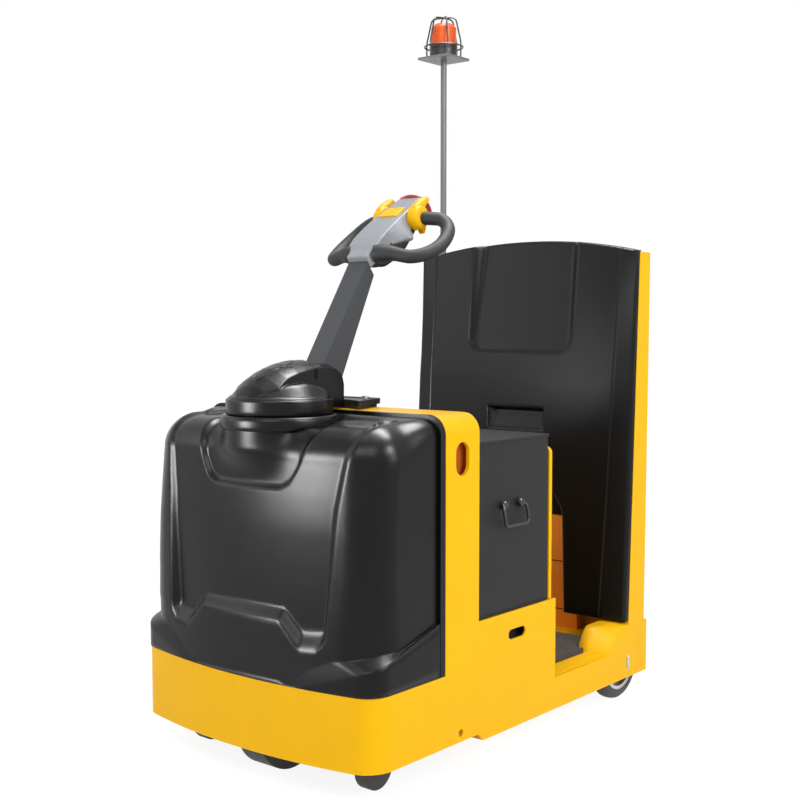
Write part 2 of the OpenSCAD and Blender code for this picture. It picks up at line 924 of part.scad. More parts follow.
module tiller_arm() {
    color("dimgray") {
        difference() {
            tiller_frame()
                along_x(-arm_half_w, arm_half_w) {
                    circle(arm_foot_d / 2 - 4);
                    polygon([[-arm_foot_d / 2, 40], [arm_foot_d / 2, 40], [arm_end_d / 2, arm_l],
                        [-arm_end_d / 2, arm_l]]);
                    translate([4 - arm_foot_d / 2, 0])
                        square([arm_foot_d - 8, 41]);
                }
            head_block();
        }
        translate([0, pivot_y, tilt_z])
            rotate([0, 90, 0])
                cylinder(r = 14, h = slot_half_w * 2 - play * 2, center = true);
    }
}

// Places its children at the lower end of the head: first axis x, second along the head, third out of its face
module head_frame() {
    tiller_frame()
        translate([0, 0, head_base])
            rotate([-(head_lean - arm_lean), 0, 0])
                translate([0, -10, 0])
                    rotate([90, 0, 0])
                        children();
}

module head_block() {
    head_frame()
        translate([-head_half_w, -10, -head_t])
            cube([head_half_w * 2, head_l + 10, head_t]);
}

module tiller_head() {
    color("silver")
        head_block();
}

module head_cover() {
    color("black")
        head_frame()
            translate([-head_half_w, 34, -head_t - 24])
                cube([head_half_w * 2, head_l - 60, 24]);
}

module handle_loops() {
    color("black")
        head_frame()
            both_sides()
                translate([loop_x, 97, -head_t / 2]) {
                    rotate(-90)
                        rotate_extrude(angle = 180)
                            translate([loop_r, 0])
                                circle(loop_tube_r);
                    for (s = [-1, 1])
                        translate([head_half_w - loop_x, s * loop_r, 0])
                            rotate([0, 90, 0])
                                cylinder(r = loop_tube_r, h = loop_x - head_half_w);
                }
}

module thumb_wheels() {
    color("gold")
        head_frame()
            both_sides()
                translate([head_half_w, 222, -head_t / 2])
                    rotate([0, 90, 0])
                        cylinder(r = 22, h = 22);
}

module head_button() {
    color("gold")
        head_frame()
            translate([-26, 130, 0])
                cube([52, 42, 8]);
}

module belly_switch() {
    color("red")
        head_frame()
            translate([-head_half_w + 2, head_l, -head_t])
                cube([head_half_w * 2 - 4, 24, head_t]);
}

module castor_fork() {
    color("black")
        translate([castor_x, castor_y, 0]) {
            translate([0, 0, fork_z])
                cylinder(r = 36, h = fork_plate_t);
            translate([0, 0, fork_z + fork_plate_t - eps])
                cylinder(r = stem_r, h = deck_z + deck_t - fork_z - fork_plate_t);
            for (s = [-1, 1])
                translate([s * (castor_w / 2 + 4 + fork_t / 2), 0, 0])
                    along_x(-fork_t / 2, fork_t / 2) {
                        polygon([[-24, fork_z + eps], [24, fork_z + eps], [14 - castor_trail, castor_r],
                            [-14 - castor_trail, castor_r]]);
                        translate([-castor_trail, castor_r])
                            circle(14);
                    }
            translate([0, -castor_trail, castor_r])
                rotate([0, 90, 0])
                    cylinder(r = castor_axle_r, h = castor_w + 8 + fork_t * 2, center = true);
        }
}

module castor_fork_left() {
    castor_fork();
}

module castor_fork_right() {
    mirror([1, 0, 0])
        castor_fork();
}

module castor_wheel() {
    color("dimgray")
        translate([castor_x, castor_y - castor_trail, castor_r])
            rotate([0, 90, 0])
                difference() {
                    cylinder(r = castor_r, h = castor_w, center = true);
                    cylinder(r = castor_axle_r + play, h = castor_w + 2, center = true);
                }
}

module castor_wheel_left() {
    castor_wheel();
}

module castor_wheel_right() {
    mirror([1, 0, 0])
        castor_wheel();
}

module rear_tyre() {
    color("dimgray")
        translate([rear_wheel_x, axle_y, rear_wheel_r])
            rotate([0, 90, 0])
                difference() {
                    cylinder(r = rear_wheel_r, h = rear_wheel_w, center = true, $fn = 96);
                    cylinder(r = rear_rim_r, h = rear_wheel_w + 2, center = true, $fn = 96);
                }
}

module rear_rim() {
    color("silver")
        translate([rear_wheel_x, axle_y, rear_wheel_r])
            rotate([0, 90, 0])
                difference() {
                    cylinder(r = rear_rim_r, h = rear_wheel_w - 4, center = true, $fn = 96);
                    cylinder(r = rear_axle_r + play, h = rear_wheel_w, center = true);
                    for (s = [0, 1])
                        mirror([0, 0, s])
                            translate([0, 0, 12])
                                difference() {
                                    cylinder(r = rear_rim_r - 8, h = rear_wheel_w);
                                    translate([0, 0, -1])
                                        cylinder(r = 30, h = rear_wheel_w + 2);
                                }
                }
}

module rear_tyre_left() {
    rear_tyre();
}

module rear_tyre_right() {
    mirror([1, 0, 0])
        rear_tyre();
}

module rear_rim_left() {
    rear_rim();
}

module rear_rim_right() {
    mirror([1, 0, 0])
        rear_rim();
}

front_skirt();
hoop();
side_plates();
access_panels();
bulkhead();
floor_pan();
drive_plate();
sills();
fenders();
platform();
platform_mat();
rear_wall();
rear_frame();
rear_housing();
backrest();
motor_hood();
console();
key_switch();
battery();
battery_cover();
cover_handles();
rear_axles();
tow_coupling();
coupling_pin();
castor_mounts();
beacon_pole();
beacon_base();
beacon_lens();
beacon_cage();
drive_unit();
drive_motor();
turret_cover();
drive_tyre();
drive_hub();
tiller_arm();
tiller_head();
head_cover();
handle_loops();
thumb_wheels();
head_button();
belly_switch();
castor_fork_left();
castor_fork_right();
castor_wheel_left();
castor_wheel_right();
rear_tyre_left();
rear_rim_left();
rear_tyre_right();
rear_rim_right();
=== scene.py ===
import json
import math

import bpy
import numpy as np
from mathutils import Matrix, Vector


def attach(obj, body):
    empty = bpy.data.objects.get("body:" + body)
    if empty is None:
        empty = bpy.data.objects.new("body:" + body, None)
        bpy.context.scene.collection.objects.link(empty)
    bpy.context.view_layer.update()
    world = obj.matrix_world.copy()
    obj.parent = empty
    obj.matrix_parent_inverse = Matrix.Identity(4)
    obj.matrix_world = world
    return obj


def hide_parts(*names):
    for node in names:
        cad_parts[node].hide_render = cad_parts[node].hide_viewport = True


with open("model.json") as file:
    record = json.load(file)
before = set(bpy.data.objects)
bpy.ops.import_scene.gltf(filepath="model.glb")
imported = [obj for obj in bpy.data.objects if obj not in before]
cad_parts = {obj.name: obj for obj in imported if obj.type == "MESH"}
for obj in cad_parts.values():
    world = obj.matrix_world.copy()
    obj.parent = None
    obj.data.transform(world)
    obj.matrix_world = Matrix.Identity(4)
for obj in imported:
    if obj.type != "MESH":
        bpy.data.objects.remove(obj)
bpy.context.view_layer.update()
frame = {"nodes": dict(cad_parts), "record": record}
nodes = frame["nodes"]
scene = bpy.context.scene
scene.view_settings.view_transform = "Standard"

# Places that several pieces share. Shapes are in millimetres, the nose to -y and the machine's left to +x.
STEER_Y = -517.0
STEER_AXIS = np.array([0.0, STEER_Y])
NOSE_Y = -673.0
NOSE_R = 1600.0
HOOD_BACK = -384.0
AXLE_Y, AXLE_Z = 508.0, 108.0

# Camera, from the photograph's perspective, in metres and degrees
FOCAL_PX = 1253.58
IMAGE_PX = 800
SENSOR = 36.0
CAMERA_PLACE = (2.18977, -2.69697, 1.10635)
CAMERA_DOWN, CAMERA_TURN = 3.60, 39.63


def make_camera():
    data = bpy.data.cameras.new("camera")
    data.sensor_width = SENSOR
    data.lens = FOCAL_PX / IMAGE_PX * SENSOR
    data.clip_end = 50
    cam = bpy.data.objects.new("camera", data)
    cam.location = CAMERA_PLACE
    cam.rotation_euler = (math.radians(90 - CAMERA_DOWN), 0, math.radians(CAMERA_TURN))
    scene.collection.objects.link(cam)
    scene.camera = cam


# Lights: place, target and size in metres, and power in watts
SOFT_LIGHTS = {
    "key": ((1.2, -3.4, 3.4), (0.0, -0.3, 0.6), (2.2, 1.4), 62),
    "side": ((3.6, 0.2, 2.2), (0.0, 0.0, 0.6), (2.0, 2.0), 68),
    "left": ((-3.0, -2.4, 2.4), (0.0, -0.3, 0.6), (1.6, 2.4), 26),
    "top": ((0.0, -0.2, 4.2), (0.0, 0.0, 0.5), (2.6, 2.6), 40),
}
# Studio panels that show as highlights and add nothing to the level of the light
GLOSS_LIGHTS = {
    "gloss_front": ((-0.66, -2.2, 0.95), (0.15, -0.65, 0.76), (0.6, 0.6), 60),
    "gloss_top": ((0.3, 0.45, 3.4), (0.2, -0.5, 0.85), (1.6, 0.9), 170),
    "gloss_right": ((2.3, -0.3, 2.5), (0.36, -0.5, 0.85), (0.9, 0.5), 60),
}


def make_light(name, place, target, size, power):
    data = bpy.data.lights.new(name, "AREA")
    data.shape = "RECTANGLE"
    data.size, data.size_y = size
    data.energy = power
    lamp = bpy.data.objects.new(name, data)
    lamp.location = place
    lamp.rotation_euler = (Vector(target) - Vector(place)).to_track_quat("-Z", "Y").to_euler()
    scene.collection.objects.link(lamp)
    return lamp


def make_lights():
    for name, values in SOFT_LIGHTS.items():
        make_light(name, *values)
    for name, values in GLOSS_LIGHTS.items():
        panel = make_light(name, *values)
        panel.visible_diffuse = False
        panel.visible_camera = False


# Shader helpers
def add_node(tree, kind, operation=None, **values):
    """A shader node. Its inputs are set by name, with an underscore for a space."""
    node = tree.nodes.new("ShaderNode" + kind)
    if operation:
        node.operation = operation
    for name, value in values.items():
        node.inputs[name.replace("_", " ")].default_value = value
    return node


def larger(tree, a, b):
    node = add_node(tree, "Math", "MAXIMUM")
    tree.links.new(a, node.inputs[0])
    tree.links.new(b, node.inputs[1])
    return node.outputs[0]


def mix_into(tree, share, first, second, output):
    """Joins two shaders, with the share of the second, and sends them to the output node."""
    node = add_node(tree, "MixShader")
    tree.links.new(share, node.inputs[0])
    tree.links.new(first.outputs[0], node.inputs[1])
    tree.links.new(second.outputs[0], node.inputs[2])
    tree.links.new(node.outputs[0], output.inputs[0])


# World and floor
WHITE = (1, 1, 1, 1)
AMBIENT = 0.42
FLOOR_HALF = 14.0
FLOOR_GREY = (0.88, 0.88, 0.88, 1)
FLOOR_GLOW, FLOOR_GLOW_SHARE = 1.25, 0.72


def make_world():
    """White where it is seen, also reflected or through glass, and dimmer as a light."""
    world = bpy.data.worlds.new("studio")
    scene.world = world
    world.use_nodes = True
    tree = world.node_tree
    tree.nodes.clear()
    ray = add_node(tree, "LightPath").outputs
    seen = larger(tree, ray["Is Camera Ray"], ray["Is Glossy Ray"])
    seen = larger(tree, seen, ray["Is Transmission Ray"])
    dim = add_node(tree, "Background", Color=WHITE, Strength=AMBIENT)
    white = add_node(tree, "Background", Color=WHITE, Strength=1.0)
    mix_into(tree, seen, dim, white, add_node(tree, "OutputWorld"))


def make_floor():
    """A pale floor that glows where it is seen, so only the shadow stands out."""
    mesh = bpy.data.meshes.new("floor")
    s = FLOOR_HALF
    mesh.from_pydata([(-s, -s, 0), (s, -s, 0), (s, s, 0), (-s, s, 0)], [], [(0, 1, 2, 3)])
    floor = bpy.data.objects.new("floor", mesh)
    scene.collection.objects.link(floor)
    paint = bpy.data.materials.new("floor")
    paint.use_nodes = True
    tree = paint.node_tree
    tree.nodes.clear()
    ray = add_node(tree, "LightPath").outputs
    share = add_node(tree, "Math", "MULTIPLY")
    share.inputs[1].default_value = FLOOR_GLOW_SHARE
    tree.links.new(larger(tree, ray["Is Camera Ray"], ray["Is Glossy Ray"]), share.inputs[0])
    lit = add_node(tree, "BsdfDiffuse", Color=FLOOR_GREY)
    glow = add_node(tree, "Emission", Color=WHITE, Strength=FLOOR_GLOW)
    mix_into(tree, share.outputs[0], lit, glow, add_node(tree, "OutputMaterial"))
    mesh.materials.append(paint)


# Materials
MOTTLE_SCALE = 9.0
SMEAR_SCALE = MOTTLE_SCALE * 3.1
# Values between which nearly all of the noise lies
NOISE_LOW, NOISE_HIGH = 0.3, 0.7
COAT_ROUGH = 0.08


def linear(rgb):
    """Linear colour from display values of 0 to 255."""
    return [(c / 12.92 if c <= 0.04045 else ((c + 0.055) / 1.055) ** 2.4) for c in [v / 255 for v in rgb]]


def material(name, rgb, rough, grain, mottle, metallic=0.0, coat=0.0, ior=1.45, rough_var=0.025):
    """A finish: colour that drifts a little, uneven roughness, and grain = (scale, height in metres)."""
    m = bpy.data.materials.new(name)
    m.use_nodes = True
    tree = m.node_tree
    link = tree.links.new
    coord = add_node(tree, "TexCoord").outputs["Object"]
    bsdf = tree.nodes["Principled BSDF"].inputs

    def noise(scale, detail):
        node = add_node(tree, "TexNoise", Scale=scale, Detail=detail)
        link(coord, node.inputs["Vector"])
        return node.outputs["Fac"]

    tint = add_node(tree, "ValToRGB")
    for i, place, shade in ((0, NOISE_LOW, 1 - mottle), (1, NOISE_HIGH, 1 + mottle)):
        stop = tint.color_ramp.elements[i]
        stop.position = place
        stop.color = [min(1.0, c * shade) for c in linear(rgb)] + [1]
    link(noise(MOTTLE_SCALE, 4), tint.inputs["Fac"])
    link(tint.outputs["Color"], bsdf["Base Color"])
    span = add_node(tree, "MapRange", From_Min=NOISE_LOW, From_Max=NOISE_HIGH,
                    To_Min=max(0.02, rough - rough_var), To_Max=min(1.0, rough + rough_var))
    link(noise(SMEAR_SCALE, 5), span.inputs["Value"])
    link(span.outputs["Result"], bsdf["Roughness"])
    bump = add_node(tree, "Bump", Strength=1.0, Distance=grain[1])
    link(noise(grain[0], 3), bump.inputs["Height"])
    link(bump.outputs["Normal"], bsdf["Normal"])
    bsdf["Metallic"].default_value = metallic
    bsdf["IOR"].default_value = ior
    bsdf["Coat Weight"].default_value = coat
    bsdf["Coat Roughness"].default_value = COAT_ROUGH
    return m


YELLOW = material("body_paint", (248, 188, 2), 0.42, (420, 0.00006), 0.02, ior=1.22)
MOULD = material("black_moulding", (12, 12, 13), 0.3, (900, 0.0001), 0.15, ior=1.28, rough_var=0.015)
BLACK = material("black_plastic", (24, 24, 25), 0.4, (1200, 0.00008), 0.12)
BLACK_STEEL = material("black_steel", (22, 22, 23), 0.32, (500, 0.00005), 0.1, coat=0.2)
DARK_STEEL = material("dark_steel", (52, 52, 54), 0.5, (300, 0.0001), 0.12)
COVER = material("cover_paint", (31, 31, 34), 0.5, (1500, 0.00006), 0.05, ior=1.3)
ARM = material("arm_paint", (62, 64, 68), 0.45, (1300, 0.00005), 0.05, ior=1.35)
GREY_PLASTIC = material("grey_plastic", (56, 57, 59), 0.42, (1000, 0.0001), 0.08)
HEAD = material("head_grey", (150, 153, 158), 0.45, (1300, 0.00006), 0.04, ior=1.3)
BUTTON = material("yellow_plastic", (252, 190, 0), 0.45, (1200, 0.00003), 0.03, ior=1.22)
RED = material("red_plastic", (196, 30, 42), 0.32, (1200, 0.00003), 0.05, coat=0.2)
GRIP = material("grip_rubber", (46, 47, 48), 0.62, (700, 0.00018), 0.1, ior=1.3)
MAT = material("mat", (52, 50, 48), 0.62, (600, 0.0002), 0.15)
TYRE = material("tyre", (70, 69, 71), 0.66, (260, 0.0003), 0.15)
STEEL = material("bright_steel", (196, 197, 200), 0.3, (800, 0.00003), 0.05, metallic=1.0)
CASE = material("battery_case", (40, 40, 43), 0.55, (700, 0.0001), 0.1)
AMBER = material("amber", (236, 92, 16), 0.32, (60, 0.0002), 0.1, ior=1.35)
# Orange-brown copy of the body paint for the rear housing: painted shade and bounced light from the yellow
# round it
HOUSING_SHADE_PAINT = material("housing_painted_shade", (255, 152, 52), 0.5, (420, 0.00006), 0.03, ior=1.3)
# Darker orange copy of the body paint for the hand-hole liner: painted shade
LINER_SHADE_PAINT = material("liner_painted_shade", (186, 88, 32), 0.5, (420, 0.00006), 0.03, ior=1.3)
POLE = material("pole_grey", (112, 113, 115), 0.35, (800, 0.00004), 0.05, ior=1.4)
MAT_BAR = material("mat_bar", (98, 94, 90), 0.6, (600, 0.0002), 0.15)
BY_SLOT = {
    "body_paint": YELLOW, "black_moulding": MOULD, "black_plastic": BLACK, "black_steel": BLACK_STEEL,
    "dark_steel": DARK_STEEL, "cover_paint": COVER, "arm_paint": ARM, "grey_plastic": GREY_PLASTIC,
    "head_grey": HEAD, "yellow_plastic": BUTTON, "red_plastic": RED, "grip_rubber": GRIP, "mat": MAT,
    "tyre": TYRE, "bright_steel": STEEL, "battery_case": CASE, "amber": AMBER,
}
# Nodes with a finish other than their slot's. The rear housing's is the body paint turned orange-brown:
# painted shade and bounced light.
OWN_FINISH = {"rear_housing": HOUSING_SHADE_PAINT, "beacon_pole": POLE}
# Nodes with rounded edges, by the width of the rounding
ROUNDED = {
    2.5: ("front_skirt", "hoop", "side_plates", "rear_frame", "rear_wall"),
    1.5: ("access_panels", "sills", "battery_cover", "tiller_arm", "rear_housing"),
}


def soften(obj, width, segments, angle):
    """Rounds the edges that turn by more than the angle."""
    mod = obj.modifiers.new("edges", "BEVEL")
    mod.width = width / 1000
    mod.segments = segments
    mod.limit_method = "ANGLE"
    mod.angle_limit = math.radians(angle)
    mod.harden_normals = True


def dress_nodes():
    """Every CAD node gets a finish, and those in ROUNDED softer edges."""
    for part in frame["record"]["subparts"]:
        finishes = nodes[part["node"]].data.materials
        finishes.clear()
        finishes.append(OWN_FINISH.get(part["node"], BY_SLOT[part["material_slot"]]))
    for width, names in ROUNDED.items():
        for name in names:
            soften(nodes[name], width, 2, 40)


# Shape helpers: a shape is a pair of vertices and faces
def add_piece(name, shape, mat, body, smooth=True, sharp=None):
    """A piece of the scene. Its smooth shading breaks at edges that turn by more than sharp degrees."""
    verts, faces = shape
    mesh = bpy.data.meshes.new(name)
    mesh.from_pydata([tuple(c / 1000 for c in v) for v in verts], [], faces)
    mesh.validate()
    mesh.polygons.foreach_set("use_smooth", [smooth] * len(mesh.polygons))
    if sharp:
        mesh.set_sharp_from_angle(angle=math.radians(sharp))
    mesh.materials.append(mat)
    obj = bpy.data.objects.new(name, mesh)
    scene.collection.objects.link(obj)
    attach(obj, body)
    return obj


def step(a, b, x):
    """0 up to a and 1 from b, with a smooth way between."""
    t = np.clip((x - a) / (b - a), 0, 1)
    return t * t * (3 - 2 * t)


def ramp(t):
    """0 below 0, 1 above 1, straight between, with slightly rounded ends."""
    return sum(np.clip(t + d, 0, 1) for d in (-0.1, -0.05, 0, 0.05, 0.1)) / 5


def smax(a, b, k):
    """The larger of a and b, rounded over k where they cross."""
    h = np.clip(0.5 + 0.5 * (a - b) / k, 0, 1)
    return b + (a - b) * h + k * h * (1 - h)


def curve(x, xs, ys, soft):
    """Straight pieces through the given points, with their corners rounded over the length soft."""
    g = np.linspace(xs[0] - 2 * soft, xs[-1] + 2 * soft, 1200)
    v = np.interp(g, xs, ys)
    k = max(3, int(soft / (g[1] - g[0])) | 1)
    win = np.hanning(k + 2)[1:-1]
    v = np.convolve(np.concatenate([[v[0]] * (k // 2), v, [v[-1]] * (k // 2)]), win / win.sum(), "valid")
    return np.interp(x, g, v)


def spline(points, per):
    """Catmull-Rom curve through the points."""
    p = np.array(points, float)
    p = np.vstack([2 * p[0] - p[1], p, 2 * p[-1] - p[-2]])
    out = []
    for i in range(1, len(p) - 2):
        for t in np.arange(per) / per:
            a, b, c, d = p[i - 1:i + 3]
            out.append(0.5 * (2 * b + (c - a) * t + (2 * a - 5 * b + 4 * c - d) * t ** 2
                              + (3 * b - a - 3 * c + d) * t ** 3))
    return np.array(out + [p[-2]])


def turns(n):
    """Angles of n points round a circle."""
    return np.arange(n) * 2 * math.pi / n


def disc(x, y, z, ry, rz, n):
    """Points of an ellipse that lies across the x axis."""
    return [(x, y + ry * math.cos(a), z + rz * math.sin(a)) for a in turns(n)]


def both_halves(half, y):
    """A closed section at y from its half outline in (x, z), which starts on the middle line."""
    return [(x, y, z) for x, z in half] + [(-x, y, z) for x, z in half[:0:-1]]


def arch(half, low, high, r, count):
    """Outline in (x, z) of an upright plate with rounded upper corners, from one foot to the other."""
    side = [(half, low)] + [(half - r + r * math.cos(a), high - r + r * math.sin(a))
                            for a in np.linspace(0, math.pi / 2, count)]
    return side + [(-x, z) for x, z in side[::-1]]


def loft(sections):
    """Closed loops of equal length joined in order, with flat ends."""
    m, n = len(sections), len(sections[0])
    faces = [(i * n + j, i * n + (j + 1) % n, (i + 1) * n + (j + 1) % n, (i + 1) * n + j)
             for i in range(m - 1) for j in range(n)]
    faces += [tuple(range(n))[::-1], tuple(range((m - 1) * n, m * n))]
    return [p for s in sections for p in s], faces


def ring_faces(n, k):
    """Faces of n loops of k points, joined in order and closed on themselves."""
    return [(i * k + j, i * k + (j + 1) % k, (i + 1) % n * k + (j + 1) % k, (i + 1) % n * k + j)
            for i in range(n) for j in range(k)]


def shell(outer, inner, keep):
    """A closed wall between two grids of points, cut through where keep leaves out a cell."""
    cols = keep.shape[1] + 1
    size = (keep.shape[0] + 1) * cols
    solid = np.pad(keep, 1)
    faces = []
    for i, j in np.argwhere(keep).tolist():
        quad = (i * cols + j, i * cols + j + 1, (i + 1) * cols + j + 1, (i + 1) * cols + j)
        faces += [quad, tuple(size + k for k in quad[::-1])]
        for k, (di, dj) in enumerate(((-1, 0), (0, 1), (1, 0), (0, -1))):
            if not solid[i + 1 + di, j + 1 + dj]:
                p, q = quad[k], quad[(k + 1) % 4]
                faces.append((q, p, size + p, size + q))
    verts = np.concatenate([outer.reshape(-1, 3), inner.reshape(-1, 3)])
    used = sorted({k for f in faces for k in f})
    index = {k: i for i, k in enumerate(used)}
    return verts[used], [tuple(index[k] for k in f) for f in faces]


def tube(path, radius, sides):
    """Round tube along a path, radius one number or one for each point."""
    path = np.array(path, float)
    rad = np.broadcast_to(np.array(radius, float), (len(path),))
    tan = np.gradient(path, axis=0)
    tan /= np.linalg.norm(tan, axis=1, keepdims=True)
    up = np.array([0.0, 0.0, 1.0]) if abs(tan[0][2]) < 0.9 else np.array([1.0, 0.0, 0.0])
    sections = []
    for p, t, r in zip(path, tan, rad):
        up = up - t * (up @ t)
        up /= np.linalg.norm(up)
        across = np.cross(t, up)
        sections.append([p + r * (math.cos(a) * up + math.sin(a) * across) for a in turns(sides)])
    return loft(sections)


def box(x, y, z):
    (x0, x1), (y0, y1), (z0, z1) = x, y, z
    return loft([[(x0, y0, h), (x1, y0, h), (x1, y1, h), (x0, y1, h)] for h in (z0, z1)])


def plate(line, y0, y1):
    """An outline in (x, z) made into a plate from y0 to y1."""
    return loft([[(x, y, z) for x, z in line] for y in (y0, y1)])


def mirrored(shape):
    """The shape and its mirror image in x."""
    verts, faces = shape
    n = len(verts)
    return (list(verts) + [(-v[0], v[1], v[2]) for v in verts],
            list(faces) + [tuple(n + k for k in f[::-1]) for f in faces])


def joined(*shapes):
    verts, faces = [], []
    for v, f in shapes:
        faces += [tuple(len(verts) + k for k in g) for g in f]
        verts += [tuple(p) for p in v]
    return verts, faces


# Motor hood: rounded walls round the nose, a flange that wraps the lower corners, a sunk front panel over a
# chin, a bib under the turret and a neck that meets the turret's ring
HOOD_BOTTOM = 262.5
HOOD_WALL = 34.0
# Below THIN_FROM the wall thins, by THIN_SHARE at the end of THIN_OVER
THIN_FROM, THIN_OVER, THIN_SHARE = 300, 37.5, 0.75
SIDE_X = 392.0
CHIN_R, SHOULDER_R = 125.0, 118.0
ROUND_FRONT, ROUND_HOOP = 92.0, 45.0
TOP_FRONT, TOP_HOOP = 872.0, 876.0
TOP_LEAN = 33.0
# Place behind which the walls stand upright, and the length over which their lean fades
LEAN_Y, LEAN_FADE = -560.0, 60.0
# Flange: half width, front and corner radius, and the rise of its edge along the skirt
FLANGE = (400.4, -673.4, 66.0)
FLANGE_FOOT, FLANGE_START, FLANGE_SLOPE = 262.0, 192.0, 0.302
# Half widths of the edges of the sunk panel and of the bib
CREASE_SOFT, BIB_SOFT = 11, 10
BIB_DEPTH = 12.0
NECK_R, NECK_INNER, NECK_LINER = 137.0, 134.0, 118.0
NECK_SPREAD, NECK_RISE = 46.0, 4.0
NECK_SOFT, NECK_SOFT_TOP = 44, 6
RIM_STEP = 8.0
HOOD_REAR_TOP = 877.0
# Ranges in y or z where a form sets in: the hoop's round, the relief on the front and on the top, its end at
# the back, the neck on the wall, its rise and the level rear edge
HOOP_FADE, FRONT_FADE, TOP_FADE, REAR_FADE = (-545, -400), (-480, -540), (800, 860), (-432, -388)
NECK_FADE, RISE_FADE, LEVEL_FADE = (725, 815), (826, 872), (-446, -392)
# Points along each side, round each corner and across the front
N_SIDE, N_CORNER, N_FRONT = 26, 26, 118
# Rows between the bottom, the flange's two edges, the chin, the panel's foot, two levels and the top's round
PANEL_LEVELS = (470.0, 690.0)
ROWS_BETWEEN = (5, 9, 12, 11, 8, 16, 22)
N_ROUND, N_TOP = 20, 34
# Curves: places, values there and the length over which corners are rounded
FLANGE_HIGH = ([180, 205, 291, 357, 409, 449, 523, 575, 640], [0.4, 1.5, 22, 25, 24, 16, 8, 3, 2], 25)
CHIN_EDGE = ([0, 132, 192, 238, 268, 320], [408, 407, 346, 348, 374, 390], 18)
PANEL_FOOT = ([0, 132, 184, 246, 320], [440, 439, 391, 397, 402], 18)
WALL_LEAN = ([262, 290, 312, 345, 420, 520, 620, 700, 780], [1, 3, 5, 7, 10, 15, 20, 26, 33], 16)
CREASE_X = ([300, 387, 674, 780, 831, 872, 910, 1050], [252, 260, 280, 298, 312, 316, 304, 235], 40)
PANEL_DEPTH = ([380, 440, 650, 800, 880], [22, 20, 12, 10, 9], 60)
BIB_HALF = ([690, 770, 800, 850, 880, 920, 987, 1054], [168, 168, 171, 184, 188, 168, 128, 96], 30)
BIB_LOW = ([0, 108, 138, 160, 185], [716, 718, 732, 766, 810], 26)
# Corner radius by height, and the rim of the neck as heights and shares of its radius
CORNER_R = ([262, 400, 500, 600, 700, 800], [132, 125, 108, 106, 112, 118])
NECK_RIM = ((876.0, 1.0), (877.6, 1.0), (878.6, 0.995), (879.0, 0.985), (879.0, 0.93))


def outline(w, f, r):
    """Plan of half width w, front f and corner radius r, from one rear corner round the nose to the other."""
    cx = w - r
    ca = math.asin(cx / (NOSE_R - r))
    cy = f + NOSE_R - (NOSE_R - r) * math.cos(ca)
    pts = [(w, HOOD_BACK + (cy - HOOD_BACK) * i / N_SIDE) for i in range(N_SIDE)]
    pts += [(cx + r * math.cos(a), cy - r * math.sin(a))
            for a in ((math.pi / 2 - ca) * i / N_CORNER for i in range(N_CORNER))]
    pts += [(NOSE_R * math.sin(a), f + NOSE_R * (1 - math.cos(a)))
            for a in (ca * (1 - 2 * i / N_FRONT) for i in range(N_FRONT + 1))]
    left = [(-x, y) for x, y in pts[:N_SIDE + N_CORNER]]
    return np.array(pts + left[::-1])


def hood_lines(flange):
    """Heights along the flange's plan of its own edges, the chin and the foot of the panel."""
    arc = np.concatenate([[0], np.cumsum(np.hypot(*np.diff(flange, axis=0).T))])
    arc = np.abs(arc - arc[len(arc) // 2])
    ax = np.abs(outline(SIDE_X, NOSE_Y, CHIN_R)[:, 0])
    low = np.maximum(HOOD_BOTTOM + 0.4, FLANGE_FOOT + FLANGE_SLOPE * (arc - FLANGE_START))
    up = low + curve(arc, *FLANGE_HIGH)
    chin = np.maximum(curve(ax, *CHIN_EDGE), up + 6)
    foot = np.maximum(curve(ax, *PANEL_FOOT), chin + 8)
    return low, up, chin, foot


def neck_ring(edge, radius):
    """The edge's points drawn in to a circle round the steering axis, with both ends at the back."""
    ang = np.unwrap(np.arctan2(edge[:, 1] - STEER_Y, edge[:, 0]))
    u = np.linspace(-1, 1, len(edge))
    bend = np.sign(u) * np.maximum(0, (np.abs(u) - 0.45) / 0.55) ** 1.6
    ang = ang - bend * (math.pi / 2 - ang[0])
    return np.column_stack([radius * np.cos(ang), STEER_Y + radius * np.sin(ang)])


